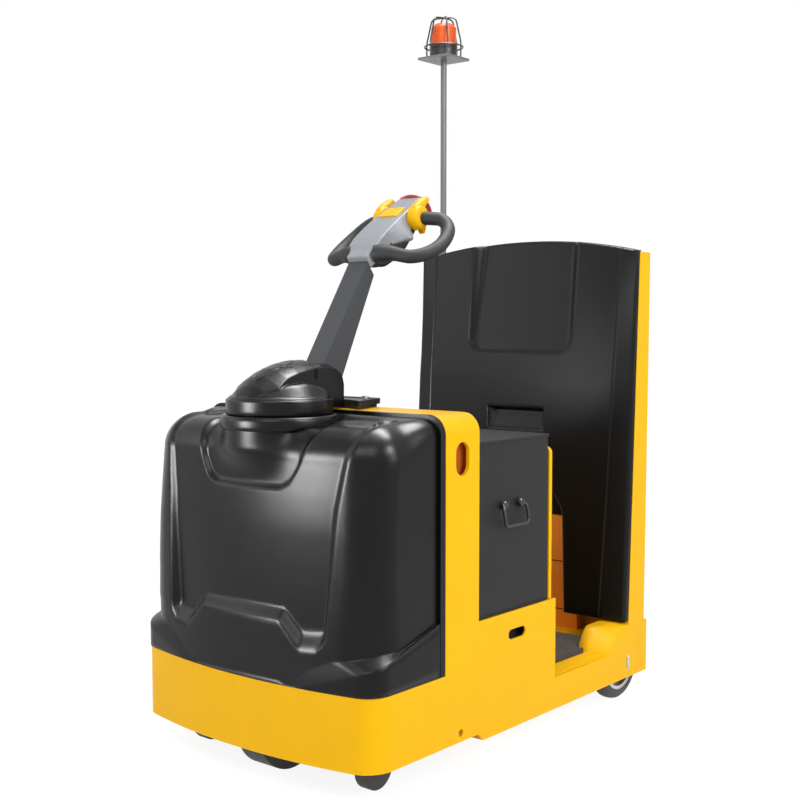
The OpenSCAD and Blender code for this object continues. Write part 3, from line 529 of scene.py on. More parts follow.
def hood_body(flange, lines, d):
    """Plain rows, d inside the face, up the wall and over the top to the neck, and how many are wall."""
    low, up, chin, foot = lines
    n = len(flange)
    hoop = step(*HOOP_FADE, flange[:, 1])
    lean = np.clip((LEAN_Y - flange[:, 1]) / LEAN_FADE, 0, 1)
    big_r = ROUND_FRONT + (ROUND_HOOP - ROUND_FRONT) * hoop
    wall_top = TOP_FRONT + (TOP_HOOP - TOP_FRONT) * hoop - big_r

    def leaning(w, f, r, by):
        return outline(w, f, r) + np.stack([np.zeros(n), by * lean], 1)

    rows = []
    levels = [np.full(n, HOOD_BOTTOM), low, up, chin, foot, *(np.full(n, z) for z in PANEL_LEVELS), wall_top]
    for a, b, count in zip(levels, levels[1:], ROWS_BETWEEN):
        for i in range(count):
            z = a + (b - a) * i / count
            r = np.interp(z[n // 2], *CORNER_R)
            wall = leaning(SIDE_X - d, NOSE_Y + d, r - d * 0.5, curve(z, *WALL_LEAN))
            out = np.clip((up - z) / np.maximum(up - low, 0.1), 0, 1) if d == 0 else np.zeros(n)
            rows.append(np.column_stack([wall + (flange - wall) * out[:, None], z]))
    for i in range(N_ROUND + 1):
        phi = math.pi / 2 * i / N_ROUND
        plans = []
        for rad in (ROUND_FRONT, ROUND_HOOP):
            e = rad * (1 - math.cos(phi))
            plans.append(leaning(SIDE_X - d - e, NOSE_Y + d + e, SHOULDER_R - 0.55 * e - d * 0.5, TOP_LEAN))
        plan = plans[0] * (1 - hoop[:, None]) + plans[1] * hoop[:, None]
        rows.append(np.column_stack([plan, wall_top + big_r * math.sin(phi) - (d if i else d * 0.5)]))
    n_wall = len(rows)
    edge = rows[-1]
    ring = neck_ring(edge, NECK_INNER if d == 0 else NECK_LINER)
    for s in np.linspace(0, 1, N_TOP + 1)[1:]:
        xy = edge[:, :2] * (1 - s) + ring * s
        xy[:, 1] = np.minimum(xy[:, 1], HOOD_BACK)
        rows.append(np.column_stack([xy, edge[:, 2] + (TOP_FRONT - d - edge[:, 2]) * s]))
    return np.array(rows), n_wall


def hood_relief(grid, on_top, chin, foot):
    """The face with the front panel and the bib sunk into it."""
    y, z = grid[..., 1], grid[..., 2]
    ax = np.abs(grid[..., 0])
    nor = np.cross(np.gradient(grid, axis=0), np.gradient(grid, axis=1))
    nor /= np.maximum(np.linalg.norm(nor, axis=2, keepdims=True), 1e-9)
    nor[on_top > 0] = (0, 0, 1)
    # Way up the front and on over the top
    way = np.where(on_top > 0, TOP_FRONT + np.maximum(0, y - LEAN_Y), np.minimum(z, TOP_FRONT))
    sunk = step(CREASE_SOFT, -CREASE_SOFT, ax - curve(way, *CREASE_X))
    rise = step(-0.1, 1.1, (z - chin) / (foot - chin))
    front = np.maximum(step(*FRONT_FADE, y), step(*TOP_FADE, z)) * (1 - 0.8 * step(*REAR_FADE, y))
    over = np.where(on_top > 0, 1, step(-BIB_SOFT, BIB_SOFT, z - curve(ax, *BIB_LOW)))
    bib = step(BIB_SOFT, -BIB_SOFT, ax - curve(way, *BIB_HALF)) * over * front
    depth = curve(z, *PANEL_DEPTH) * sunk * rise * front + BIB_DEPTH * bib
    return grid - nor * depth[..., None]


def hood_neck(grid, on_top, z):
    """The face drawn out to the neck, level at the back, with a rim. z is its height without relief."""
    v = grid[..., :2] - STEER_AXIS
    rho = np.maximum(np.linalg.norm(v, axis=2), 1e-6)
    drawn = smax(rho, np.full_like(rho, NECK_R), NECK_SOFT + (NECK_SOFT_TOP - NECK_SOFT) * on_top)
    drawn = rho + (drawn - rho) * step(*NECK_FADE, z)
    grid[..., :2] = STEER_AXIS + v / rho[..., None] * drawn[..., None]
    near = np.clip((NECK_R + NECK_SPREAD - drawn) / NECK_SPREAD, 0, 1)
    grid[..., 2] += np.maximum(on_top, step(*RISE_FADE, z)) * NECK_RISE * near ** 2
    back = on_top * step(*LEVEL_FADE, grid[..., 1])
    grid[..., 2] += np.maximum(0, HOOD_REAR_TOP - grid[..., 2]) * back
    grid[..., 1] = np.minimum(grid[..., 1], HOOD_BACK)
    rim = []
    for height, share in NECK_RIM:
        row = grid[-1].copy()
        row[:, :2] = STEER_AXIS + (row[:, :2] - STEER_AXIS) * share
        row[:, 1] = np.minimum(row[:, 1], HOOD_BACK)
        row[:, 2] = np.maximum(row[:, 2], height)
        rim.append(row)
    return np.concatenate([grid, rim])


def make_hood():
    flange = outline(*FLANGE)
    lines = hood_lines(flange)
    plain, n_wall = hood_body(flange, lines, 0)
    on_top = np.zeros(plain.shape[:2])
    on_top[n_wall:] = 1
    outer = hood_neck(hood_relief(plain, on_top, *lines[2:]), on_top, plain[..., 2])
    inner, _ = hood_body(flange, lines, HOOD_WALL)
    rim = np.repeat(inner[-1:], len(NECK_RIM), axis=0)
    rim[..., 2] += RIM_STEP * np.arange(1, len(NECK_RIM) + 1)[:, None]
    inner = np.concatenate([inner, rim])
    thin = np.clip((THIN_FROM - inner[..., 2]) / THIN_OVER, 0, 1)[..., None] * THIN_SHARE
    inner = inner + (outer - inner) * thin
    cells = np.ones((len(outer) - 1, len(flange) - 1), bool)
    hood = add_piece("hood_shell", shell(outer, inner, cells), MOULD, "chassis")
    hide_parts("motor_hood")


# Rim of the hood's neck under the turret's ring, as radii and heights
COLLAR = ((120, 846), (142.6, 846), (145, 849), (145.4, 856), (145, 868), (143.8, 874), (141.4, 877.4),
          (138, 879.4), (120, 879.4))


def make_collar():
    n = 96
    verts = [(r * math.cos(a), min(STEER_Y + r * math.sin(a), HOOD_BACK), z)
             for a in turns(n) for r, z in COLLAR]
    faces = [f[:1] + f[:0:-1] for f in ring_faces(n, len(COLLAR))]
    add_piece("neck_collar", (verts, faces), MOULD, "chassis", sharp=60)


# Trim round the hood's back: half widths of its face and of the lip over the hoop, whose corners have HOOP_R
TRIM_OUT, TRIM_IN, LIP_IN = 400.9, 391.0, 400.1
TRIM_Y = (-386.5, -383.2, -367.5)
TRIM_FOOT = 263.0
HOOP_HALF, HOOP_RISE, HOOP_R = 400, 484, 48


def hoop_band(out, into, y0, y1):
    """A band that follows the hoop between two half widths."""
    lines = [arch(e, TRIM_FOOT, e + HOOP_RISE, HOOP_R + e - HOOP_HALF, 16) for e in (out, into)]
    return plate(lines[0] + lines[1][::-1], y0, y1)


def make_hood_trim():
    front, lip, back = TRIM_Y
    trim = joined(hoop_band(TRIM_OUT, TRIM_IN, front, lip), hoop_band(TRIM_OUT, LIP_IN, lip, back))
    add_piece("hood_trim", trim, MOULD, "chassis", smooth=False)


# Backrest: a leaning shell with bevelled sides, a sunk upper panel open at the top, a pocket and a cut-out
BACK_W = 398.5
BACK_LOW = 233.0
BACK_CROWN, BACK_DROP, BACK_HALF = 1353, 41, 390
RIM_R = 8.0
RIM_STEPS = (0, 0.7, 2.2, 4.5, 8)
FOLD_STEPS = (-5, -2.6, -0.9, 0.9, 2.6, 5)
# By height: half width of the cut-out, place of the bevel's fold, depth of the bevel, front, back and posts
CUTOUT_TOP, CUTOUT_TOP_HALF = 594, 138
CUTOUT_HALF = ([245, 520, 545, 580, CUTOUT_TOP], [197, 179, 174, 150, CUTOUT_TOP_HALF])
FOLD_X = ([245, 640, 1353], [322, 334, 340])
BEVEL_DEPTH = ([1000, 1300], [15, 3])
FRONT_Y = ([245, 935, 1360], [474, 513, 553], 24)
BACK_Y = ([219, 1307], [579, 592])
POST_X = 389.3
POST_Y = ([236, 527, 790, 1081, 1290], [510, 535, 541, 549, 555])
# Rows of the grid, closest at the relief: from, to and count, then shares of the way to the curved top
LEG_ROWS = (262, 580, 24)
UPPER_ROWS = ((600, 755, 12), (762, 856, 26), (864, 980, 18), (985, 1075, 28), (1083, 1250, 16))
TOP_START = 1250
TOP_SHARES = (*np.linspace(0.12, 0.86, 8), 0.91, 0.95, 0.975, 0.992, 1.0)
GROOVE_DEPTH, GROOVE_HALF = 2.4, 2.6
# Sunk panel and pocket: half width, lower edge or middle, corner radius or half height, and depth
PANEL_HALF, PANEL_LOW, PANEL_R, PANEL_SUNK = 190, 1006, 50, 30
POCKET_HALF, POCKET_Z, POCKET_RISE, POCKET_SUNK = 102, 808, 36, 30
# Where each starts to deepen, over which height, and the width of its walls, shallow and added by depth
PANEL_FROM, PANEL_OVER, PANEL_WALL, PANEL_WALL_ADD = 1002, 350, 7, 18
POCKET_FROM, POCKET_OVER, POCKET_WALL, POCKET_WALL_ADD = 768, 76, 5, 12


def back_top(x):
    return BACK_CROWN - BACK_DROP * np.abs(x / BACK_HALF) ** 2.1


def back_columns(z):
    """Places across the backrest, closest at rims and folds, and how many are in each leg."""
    cut = np.interp(z, *CUTOUT_HALF)
    leg = BACK_W - cut
    fold = np.interp(z, *FOLD_X) - cut
    places = [*RIM_STEPS, *(leg - np.array(RIM_STEPS)), *(leg * np.linspace(0.06, 0.94, 30))]
    right = [cut + p for p in sorted(places + [fold + d for d in FOLD_STEPS])]
    middle = list(np.linspace(-cut, cut, 52))[1:-1]
    return np.array([-x for x in right[::-1]] + middle + right), len(right)


def back_depth(x, z):
    """How far the face lies behind its plain front: bevels, sunk panel, pocket and rounded rim."""
    ax = np.abs(x)
    fold = curve(z, *FOLD_X, 10)
    bevel = np.clip((ax - fold) / (BACK_W - fold), 0, 1)
    depth = np.interp(z, *BEVEL_DEPTH) * bevel
    depth += GROOVE_DEPTH * np.exp(-((ax - fold) / GROOVE_HALF) ** 2)
    px, pz = ax - (PANEL_HALF - PANEL_R), (PANEL_LOW + PANEL_R) - z
    edge = np.hypot(np.maximum(px, 0), np.maximum(pz, 0)) + np.minimum(np.maximum(px, pz), 0) - PANEL_R
    deep = np.clip((z - PANEL_FROM) / PANEL_OVER, 0, 1) ** 0.5
    depth += PANEL_SUNK * deep * ramp(-edge / (PANEL_WALL + PANEL_WALL_ADD * deep))
    edge = np.maximum(ax - POCKET_HALF, np.abs(z - POCKET_Z) - POCKET_RISE)
    deep = np.clip((z - POCKET_FROM) / POCKET_OVER, 0, 1)
    depth += POCKET_SUNK * deep * ramp(-edge / (POCKET_WALL + POCKET_WALL_ADD * deep))
    above = np.hypot(np.maximum(ax - CUTOUT_TOP_HALF, 0), z - CUTOUT_TOP)
    cut = np.where(z <= CUTOUT_TOP, ax - np.interp(z, *CUTOUT_HALF), above)
    rim = np.minimum(np.minimum(BACK_W - ax, back_top(x) - z), z - BACK_LOW)
    near = np.clip(1 - np.minimum(rim, np.maximum(cut, 0)) / RIM_R, 0, 1)
    return depth + RIM_R * (1 - np.sqrt(np.maximum(0, 1 - near * near)))


def make_backrest():
    heights = [BACK_LOW + e for e in RIM_STEPS] + list(np.linspace(*LEG_ROWS))
    heights += [CUTOUT_TOP - e for e in RIM_STEPS[::-1]]
    cut_rows = len(heights) - 1
    for rows in UPPER_ROWS:
        heights += list(np.linspace(*rows))
    grid = []
    for height in heights:
        xs, leg = back_columns(height)
        grid.append(np.column_stack([xs, np.full(len(xs), height)]))
    for share in TOP_SHARES:
        xs, leg = back_columns(TOP_START)
        grid.append(np.column_stack([xs, TOP_START + (back_top(xs) - TOP_START) * share]))
    x, z = np.moveaxis(np.array(grid), 2, 0)
    back = np.interp(z, *BACK_Y) - 0.8
    post = np.interp(z, *POST_Y) - 0.5
    back = np.where(np.abs(x) > POST_X, np.minimum(back, post), back)
    face = np.minimum(curve(z, *FRONT_Y) + back_depth(x, z), back - 4)
    cells = np.ones((x.shape[0] - 1, x.shape[1] - 1), bool)
    cells[:cut_rows, leg - 1:x.shape[1] - leg] = False
    wall = shell(np.stack([x, face, z], 2), np.stack([x, back, z], 2), cells)
    backrest = add_piece("backrest_shell", wall, MOULD, "chassis", sharp=50)
    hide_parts("backrest")


# Turret: a ring with a dome, notched on both sides so that two flat cheeks stand out of it and hold the arm
RING_TOP, RING_FOOT = 917.0, 903.0
DOME_R, DOME_RISE = 127.0, 24.0
# Radii and heights of the ring
RING = ((126, 880.6), (130.5, 880.8), (131.8, 882.2), (132, 892), (132, 913), (131.6, 915.8), (130.2, 917.4),
        (127.4, 918))
# By place behind the steering axis: height of the crown, x of the cheek's wall, height of the notch
CROWN = np.array([(-124, 917), (-118, 928), (-100, 950), (-72, 973), (-38, 991), (0, 1002), (30, 1007),
                  (61, 1010), (96, 1010), (130, 1005), (150, 999), (170, 986), (181, 972),
                  (186, 954)], float).T
WALL = np.array([(-124, 24), (-100, 52), (-73, 73), (-55, 69), (-34, 67), (-5, 66), (26, 64), (91, 57),
                 (175, 46), (186, 45)], float).T
NOTCH = np.array([(-73, 944), (-58, 951), (-42, 954), (-3, 957), (20, 955), (45, 950), (74, 939), (100, 925),
                  (117, 917)], float).T
NOTCH_FRONT = -73
# Stretches of sections along the helmet and along the cheeks behind it: from, to and count
HELMET_ROWS = ((-123.5, -104, 10), (-101, -74, 12), (-72.8, -52, 12), (-49, 74, 34))
CHEEK_ROWS = ((60, 140, 16), (145, 186, 18))
CHEEK_IN, CHEEK_LOW = 36, 890.4
OVAL_Y, OVAL_HALF_X, OVAL_HALF_Y = -20, 24, 64
TURRET_SCREWS = ((31, -8), (38, 2))


def dome_z(x, y):
    crown = np.interp(y, *CROWN)
    w = np.sqrt(np.maximum(4.0, DOME_R ** 2 - np.minimum(y, 0.0) ** 2))
    return float(RING_TOP + (crown - RING_TOP) * np.maximum(0.0, 1 - (np.abs(x) / w) ** 2))


def helmet_section(y):
    """Half outline in (x, z), y behind the steering axis, from the crown over cheek and notch to the ring."""
    end = math.sqrt(max(16.0, DOME_R ** 2 - y * y))
    wall = float(np.interp(y, *WALL))
    if y < 0:
        wall = min(wall, end * 0.7)
    notched = y > NOTCH_FRONT
    floor = float(np.interp(y, *NOTCH)) if notched else math.inf

    def shoulder(x):
        r = min(1.0, math.hypot(x, y) / (DOME_R + 0.2))
        return RING_TOP + (min(dome_z(x, y), floor) - RING_TOP) * math.sqrt(max(0.0, 1 - r ** 8))

    edge = wall + 4
    if end > wall + 6:
        edge = wall + 6
        if notched:
            crown = float(np.interp(y, *CROWN))
            fall = (floor - RING_TOP) / max(1.0, crown - RING_TOP)
            edge = (DOME_R if y > 0 else end) * math.sqrt(max(0.0, 1 - fall))
        edge = min(max(edge, wall + 4), end - 1.0)
    top = dome_z(wall, y)
    k = min(1.0, max(0.0, top - shoulder(min(wall + 3, max(end, wall)))) / 6)
    low = shoulder(wall + 3) if end > wall + 3 else RING_TOP - 20
    lip = top - 3.2 * k
    pts = [(x, dome_z(x, y)) for x in np.linspace(0, wall - 4, 12)]
    pts += [(wall - 1.6, dome_z(wall - 1.6, y) - 0.2 * k), (wall - 0.4, top - k), (wall, lip)]
    pts += [(wall, low + (lip - low) * 0.5), (wall + 0.01, low + 2.6 * k), (wall + 0.9, low + 0.7 * k),
            (wall + 3, low)]
    if end > wall + 6:
        out = edge + (end - edge) * np.sin(np.linspace(0, math.pi / 2, 10))
        pts += [(x, shoulder(x)) for x in (*np.linspace(wall + 3, edge, 5)[1:], *out[1:])]
    else:
        pts += [(wall + 3, low)] * 13
    return pts + [(pts[-1][0], RING_FOOT)]


def make_turret_dome():
    rows = list(RING)
    rows += [(DOME_R * math.cos(a), RING_TOP + DOME_RISE * math.sin(a))
             for a in np.linspace(0.03, math.pi / 2 - 0.02, 20)]
    ring = loft([[(r * math.cos(a), STEER_Y + r * math.sin(a), z) for a in turns(96)] for r, z in rows])
    dome = add_piece("turret_dome", ring, MOULD, "steering")
    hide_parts("turret_cover")


def make_turret_cheeks():
    """The notched helmet, and the cheeks that run on behind it on both sides of the arm."""
    helmet = loft([both_halves(helmet_section(y), y + STEER_Y)
                   for rows in HELMET_ROWS for y in np.linspace(*rows)])
    sections = []
    for y in (y for rows in CHEEK_ROWS for y in np.linspace(*rows)):
        w = float(np.interp(y, *WALL))
        top = dome_z(w, y)
        line = [(w, CHEEK_LOW), (w, top - 3.2), (w - 0.4, top - 1.0), (w - 1.6, top + 0.2),
                (w - 4, dome_z(w - 4, y)), (CHEEK_IN, dome_z(CHEEK_IN, y)), (CHEEK_IN, CHEEK_LOW)]
        sections.append([(x, y + STEER_Y, z) for x, z in line])
    cheeks = joined(helmet, mirrored(loft(sections)))
    add_piece("turret_cheeks", cheeks, MOULD, "steering", sharp=60)


def make_turret_details():
    """Oval line in the crown, with two screws."""
    oval = []
    for a in np.linspace(0, 2 * math.pi, 61):
        x, y = OVAL_HALF_X * math.cos(a), OVAL_Y + OVAL_HALF_Y * math.sin(a)
        oval.append((x, y + STEER_Y, dome_z(x, y) - 0.4))
    add_piece("turret_oval", tube(oval, 1.7, 10), MOULD, "steering")
    screws = []
    for x, y in TURRET_SCREWS:
        z = dome_z(x, y)
        screws.append(tube([(x, y + STEER_Y, z - 3), (x, y + STEER_Y, z + 1.8)], 4.2, 20))
    add_piece("turret_screws", joined(*screws), DARK_STEEL, "steering", sharp=40)


# Tiller head in its own frame: x, along the head, out of its face
HEAD_O = np.array([0.0, -225.0, 1280.0])
HEAD_U = np.array([0.0, 0.797, 0.604])
HEAD_N = np.array([0.0, -0.604, 0.797])
# Stations along the head: place, half width and height of the face, half width and height of the lower edge
HEAD_AT, FACE_HALF, FACE_HIGH, EDGE_HALF, EDGE_LOW = np.array([
    (-10, 35, 0, 37, -30), (10, 37, 2, 38, -30), (22, 40, 6, 40, -28), (30, 50, 10, 46, -22),
    (60, 50, 14, 46, -22), (90, 49.5, 14.5, 52, -26), (115, 49, 14, 66, -34), (132, 48.5, 13, 82, -42),
    (145, 48, 12, 72, -40), (165, 47.5, 10.5, 52, -36), (200, 46, 8, 46, -34), (240, 42, 4, 42, -32),
    (274, 35, 0, 36, -30)], float).T
# Rounding of the head's ends, by place
END_DROP = ([-10, -9.3, -7.5, -4, 268, 271, 273, 274], [4, 2, 0.6, 0, 0, 0.8, 2.2, 4])
# Stations along the cover: place, half width, height of its belly
COVER_AT, COVER_HALF, COVER_LOW = np.array([
    (16, 38, -52), (36, 44, -66), (80, 50, -72), (130, 52, -70), (190, 44, -64), (250, 34, -52)], float).T
# Loop from the head's foot round to the thumb wheel: the head's frame and radius
LOOP = ((38, 23, -14, 24), (56, 27, -17, 24), (77, 32, -21, 21), (95, 34, -26, 18.5), (114, 35, -32, 18),
        (133, 40, -39, 18), (153, 57, -47, 18), (167, 84, -54, 18), (174, 117, -58, 18), (171, 151, -58, 18),
        (161, 182, -55, 18), (143, 204, -48, 18), (121, 215, -41, 18), (102, 212, -35, 18),
        (84, 208, -30, 18), (60, 202, -23, 17))
# Thumb wheel: the cup's x and radius, the wing's place, height, half height and share of its width, and the
# tab's place, height and share of its size
CUP_U, CUP_N = 203, -22
CUP = ((46, 31), (49, 33.4), (54, 34.6), (61, 34.6), (68, 33.4), (74, 30), (77, 25), (78, 20), (78, 12))
WING_X, WING_HALF = 61, 11
WING = ((200, -4, 18, 1), (216, -2, 16, 1), (234, 0, 13, 1), (250, 0, 10, 1), (260, -1, 8, 0.9),
        (265, -2, 4, 0.7))
TAB_X, TAB_HALF, TAB_RISE = 60, 10, 7
TAB = ((206, -48, 1), (198, -56, 1), (192, -60, 0.9), (190, -62, 0.6))
OCTAGON = ((-1, -0.6), (-0.6, -1), (0.6, -1), (1, -0.6), (1, 0.6), (0.6, 1), (-0.6, 1), (-1, 0.6))
SQUARE = ((-1, -1), (1, -1), (1, 1), (-1, 1))
# Button: middle, half width, half length, outline, and layers as height over the face and share of the size
KEY_U, KEY_HALF, KEY_LENGTH = 182, 31, 22
KEY = ((-1, -0.92), (-0.95, -1), (0, -1), (0.95, -1), (1, -0.92), (1, 0), (1, 0.92), (0.95, 1), (0, 1),
       (-0.95, 1), (-1, 0.92), (-1, 0))
KEY_LAYERS = ((-6, 1.0), (3.0, 1.0), (4.4, 0.975), (5.0, 0.93))
# Belly switch: centre of its bend, radius at the ends, bulge in the middle and thickness
BELLY_U, BELLY_N, BELLY_R, BELLY_BULGE, BELLY_WALL = 240, -42, 52, 9, 8


def head_place(shape):
    """From the head's frame to the machine's."""
    verts, faces = shape
    return [np.array([v[0], 0, 0]) + HEAD_O + HEAD_U * v[1] + HEAD_N * v[2] for v in verts], faces


def make_head_shell():
    us = np.concatenate([[-10, -9.3, -7.5], np.linspace(-4, 20, 8), np.linspace(22, 32, 8),
                         np.linspace(36, 268, 60), [271, 273, 274]])
    columns = [curve(us, HEAD_AT, values, soft)
               for values, soft in ((FACE_HALF, 7), (FACE_HIGH, 24), (EDGE_HALF, 14), (EDGE_LOW, 16))]
    sections = []
    for u, face, high, edge, low, drop in zip(us, *columns, np.interp(us, *END_DROP)):
        rim = high - drop
        half = [(0, rim + 0.6), (face * 0.6, rim + 0.4), (face - 3.6, rim), (face - 1.2, rim - 0.5),
                (face, rim - 1.8), (face + (edge - face) * 0.3, high + (low - high) * 0.32),
                (face + (edge - face) * 0.62, high + (low - high) * 0.66),
                (edge - 0.6, low + 2.2), (edge, low), (edge - 1.4, low - 3), (edge - 8, low - 8)]
        sections.append(both_halves([(x - min(drop, x), w) for x, w in half], u))
    head = add_piece("head_shell", head_place(loft(sections)), HEAD, "tiller", sharp=38)
    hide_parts("tiller_head")


def make_head_cover():
    us = np.linspace(16, 250, 44)
    sections = []
    for u, a, low in zip(us, curve(us, COVER_AT, COVER_HALF, 20), curve(us, COVER_AT, COVER_LOW, 20)):
        half = [(0, -20), (a, -20), (a, low + 14), (a - 3, low + 6), (a - 8, low + 1.5), (a - 14, low)]
        sections.append(both_halves(half, u))
    cover = add_piece("head_under", head_place(loft(sections)), BLACK, "tiller", sharp=45)
    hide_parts("head_cover")


def make_loops():
    path = spline(LOOP, 8)
    tubes = mirrored(tube(path[:, :3], path[:, 3], 32))
    loops = add_piece("loop_tubes", head_place(tubes), GRIP, "tiller")
    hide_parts("handle_loops")


def make_thumb_wheels():
    """A cup round the end of each loop, with a wing along the head and a tab under it."""
    cup = loft([disc(x, CUP_U, CUP_N, r, r, 48) for x, r in CUP])
    wing = loft([[(WING_X + WING_HALF * k * a, u, w + h * b) for a, b in OCTAGON] for u, w, h, k in WING])
    tab = loft([[(TAB_X + TAB_HALF * k * a, u, w + TAB_RISE * k * b) for a, b in SQUARE] for u, w, k in TAB])
    both = mirrored(joined(cup, wing, tab))
    wheels = add_piece("thumb_butterfly", head_place(both), BUTTON, "tiller", sharp=55)
    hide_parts("thumb_wheels")


def make_head_key():
    """A low pillow that follows the crowned face."""
    sections = []
    for rise, k in KEY_LAYERS:
        line = [(KEY_HALF * k * a, KEY_U + KEY_LENGTH * k * b) for a, b in KEY]
        sections.append([(x, u, float(np.interp(u, HEAD_AT, FACE_HIGH)) + rise) for x, u in line])
    pillow = head_place(loft(sections))
    button = add_piece("head_key", pillow, BUTTON, "tiller", smooth=False)
    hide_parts("head_button")


def make_belly():
    """A bumper that bends round the head's end."""
    sections = []
    for x in np.linspace(-36, 38, 17):
        r = BELLY_R + BELLY_BULGE * (1 - (x / 38) ** 2)
        line = [(r, a) for a in np.radians(np.linspace(58, -50, 30))]
        line += [(r - BELLY_WALL, a) for a in np.radians(np.linspace(-50, 56, 30))]
        sections.append([(x, BELLY_U + q * math.cos(a), BELLY_N + q * math.sin(a)) for q, a in line])
    belly = add_piece("belly_cap", head_place(loft(sections)), RED, "tiller")
    soften(belly, 3, 3, 50)
    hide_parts("belly_switch")


# Fenders: x and radius of a cone's outer and inner skin, its centre's height, and where its skins are level
FENDER_OUTER = ((322, 150), (322, 158), (325, 161), (338, 162), (346, 161), (353, 158), (360, 152.5),
                (393, 115.5), (397.5, 110), (400.3, 106.4))
FENDER_INNER = ((400.3, 103), (394, 107), (356, 149), (345, 156), (328, 156), (328, 150))
FENDER_Z, FENDER_BACK, FENDER_LOW = 113.0, 572.0, 80.0
FENDER_TOP, FENDER_TOP_IN = 228.0, 224.0


def make_fenders():
    """Cones levelled under the backrest, which run out into the side plates."""
    skins = [(x, r, FENDER_TOP) for x, r in FENDER_OUTER] + [(x, r, FENDER_TOP_IN) for x, r in FENDER_INNER]
    loops = []
    for a in np.radians(np.linspace(204, 20, 64)):
        loop = []
        for x, r, top in skins:
            z = -float(smax(-FENDER_Z - r * math.sin(a), -top, 14.0))
            loop.append((x, min(AXLE_Y + r * math.cos(a), FENDER_BACK), max(z, FENDER_LOW)))
        loops.append(loop)
    fenders = add_piece("fender_arches", mirrored(loft(loops)), YELLOW, "chassis", sharp=48)
    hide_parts("fenders")


# Bulkhead: a thin plate with rounded corners over a thicker foot
BULK_HALF, BULK_FOOT_HALF, BULK_TOP, BULK_STEP, BULK_LOW, BULK_R = 393, 389, 775, 369, 78, 16
BULK_FRONT, BULK_BACK, BULK_FOOT_BACK = 92.5, 106, 115.5


def make_bulkhead():
    upper = plate(arch(BULK_HALF, BULK_STEP, BULK_TOP, BULK_R, 12), BULK_FRONT, BULK_BACK)
    foot = box((-BULK_FOOT_HALF, BULK_FOOT_HALF), (BULK_FRONT, BULK_FOOT_BACK), (BULK_LOW, BULK_STEP))
    bulkhead = add_piece("bulkhead_plate", joined(upper, foot), YELLOW, "chassis", smooth=False)
    soften(bulkhead, 2, 2, 35)
    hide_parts("bulkhead")


# Extents in x, y and z behind the backrest's cut-out, where a black sheet is painted shade, and in the
# hand-holes, where the liner's darker paint is painted shade
SHADE_WALL = ((-206, 206), (570, 576), (511, 640))
SEAM_X, SEAM_Y, SEAM_HIGH = (-171, 171), (556.6, 560), 2.2
SEAMS_AT = (221, 369)
# The liner's darker orange paint is painted shade
LINER_BOX = ((374, 377), (-356, -238), (704, 852))


def make_rear_inside():
    """Black sheet over the centre housing, seen through the cut-out as painted shade for its dark inside, and
    its seams.
    """
    seams = [box(SEAM_X, SEAM_Y, (z, z + SEAM_HIGH)) for z in SEAMS_AT]
    inside = joined(box(*SHADE_WALL), *seams)
    add_piece("cutout_shade_and_seams", inside, MOULD, "chassis", smooth=False)


def make_hand_hole_liner():
    add_piece("hand_hole_liner", mirrored(box(*LINER_BOX)), LINER_SHADE_PAINT, "chassis", smooth=False)


# Platform mat: corner patches beside the fenders, and bars by their half length and half width
MAT_CORNER = ((236, 322), (300, 448), (166, 180.4))
BAR_STEP, BAR_LONG, BAR_SHORT = 16.0, 5.5, 1.6
BAR_Z = (179.6, 181.4)
BARS_X, BARS_Y = (-336, 337), (128, 446)
FENDER_SIDE, FENDER_FRONT = 318, 340


def make_mat():
    """Small raised bars, each at a right angle to the next, left out under the fenders."""
    bars = []
    for i, x in enumerate(np.arange(*BARS_X, BAR_STEP)):
        for j, y in enumerate(np.arange(*BARS_Y, BAR_STEP)):
            if abs(x) > FENDER_SIDE and y > FENDER_FRONT:
                continue
            a, b = (BAR_LONG, BAR_SHORT) if (i + j) % 2 else (BAR_SHORT, BAR_LONG)
            bars.append(box((x - a, x + a), (y - b, y + b), BAR_Z))
    add_piece("mat_corners", mirrored(box(*MAT_CORNER)), MAT, "chassis", smooth=False)
    add_piece("mat_bars", joined(*bars), MAT_BAR, "chassis", smooth=False)


# Battery cover: lid, a black strip of painted shade in the gap under its sides, and bail handles on round
# bosses
LID = ((-397, 397), (-231.4, 85), (803.5, 811.5))
SHADE_GAP = ((393.4, 394.8), (-230, 81), (369.4, 377))
BOSS_YS, BOSS_Z = (-126, -54), 646
BOSS = ((394, 11), (405, 11), (408, 9))
BAIL = ((402, -122, 646), (404, -134, 645), (409, -139, 636), (414, -140, 612), (415, -138, 599),
        (415, -130, 594), (415, -90, 594), (415, -48, 594), (415, -40, 599), (414, -38, 612),
        (409, -39, 636), (404, -46, 645), (402, -58, 646))
BAIL_R = 4.2


def make_cover():
    lid = add_piece("cover_lid", box(*LID), COVER, "chassis", smooth=False)
    soften(lid, 2, 2, 35)
    add_piece("cover_gap_shade", mirrored(box(*SHADE_GAP)), MOULD, "chassis", smooth=False)
    bosses = [loft([disc(x, y, BOSS_Z, r, r, 28) for x, r in BOSS]) for y in BOSS_YS]
    handle = joined(*bosses, tube(spline(BAIL, 6), BAIL_R, 16))
    bails = add_piece("bail_handles", mirrored(handle), BLACK_STEEL, "chassis", sharp=50)
    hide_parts("cover_handles")


# Rear wheels: x from the wheel's middle and radius of the tyre, and the bright ring of the rim
WHEEL_X = 345
TYRE_PROFILE = ((-12, 80), (-14.6, 84), (-15, 92), (-12, 101), (-6, 106.4), (1, 108), (14, 108), (21, 106.4),
                (27, 101), (30, 92), (29.6, 84), (27, 80))
RIM_X, RIM_RING_R, RIM_WIRE_R = 373, 79, 1.7


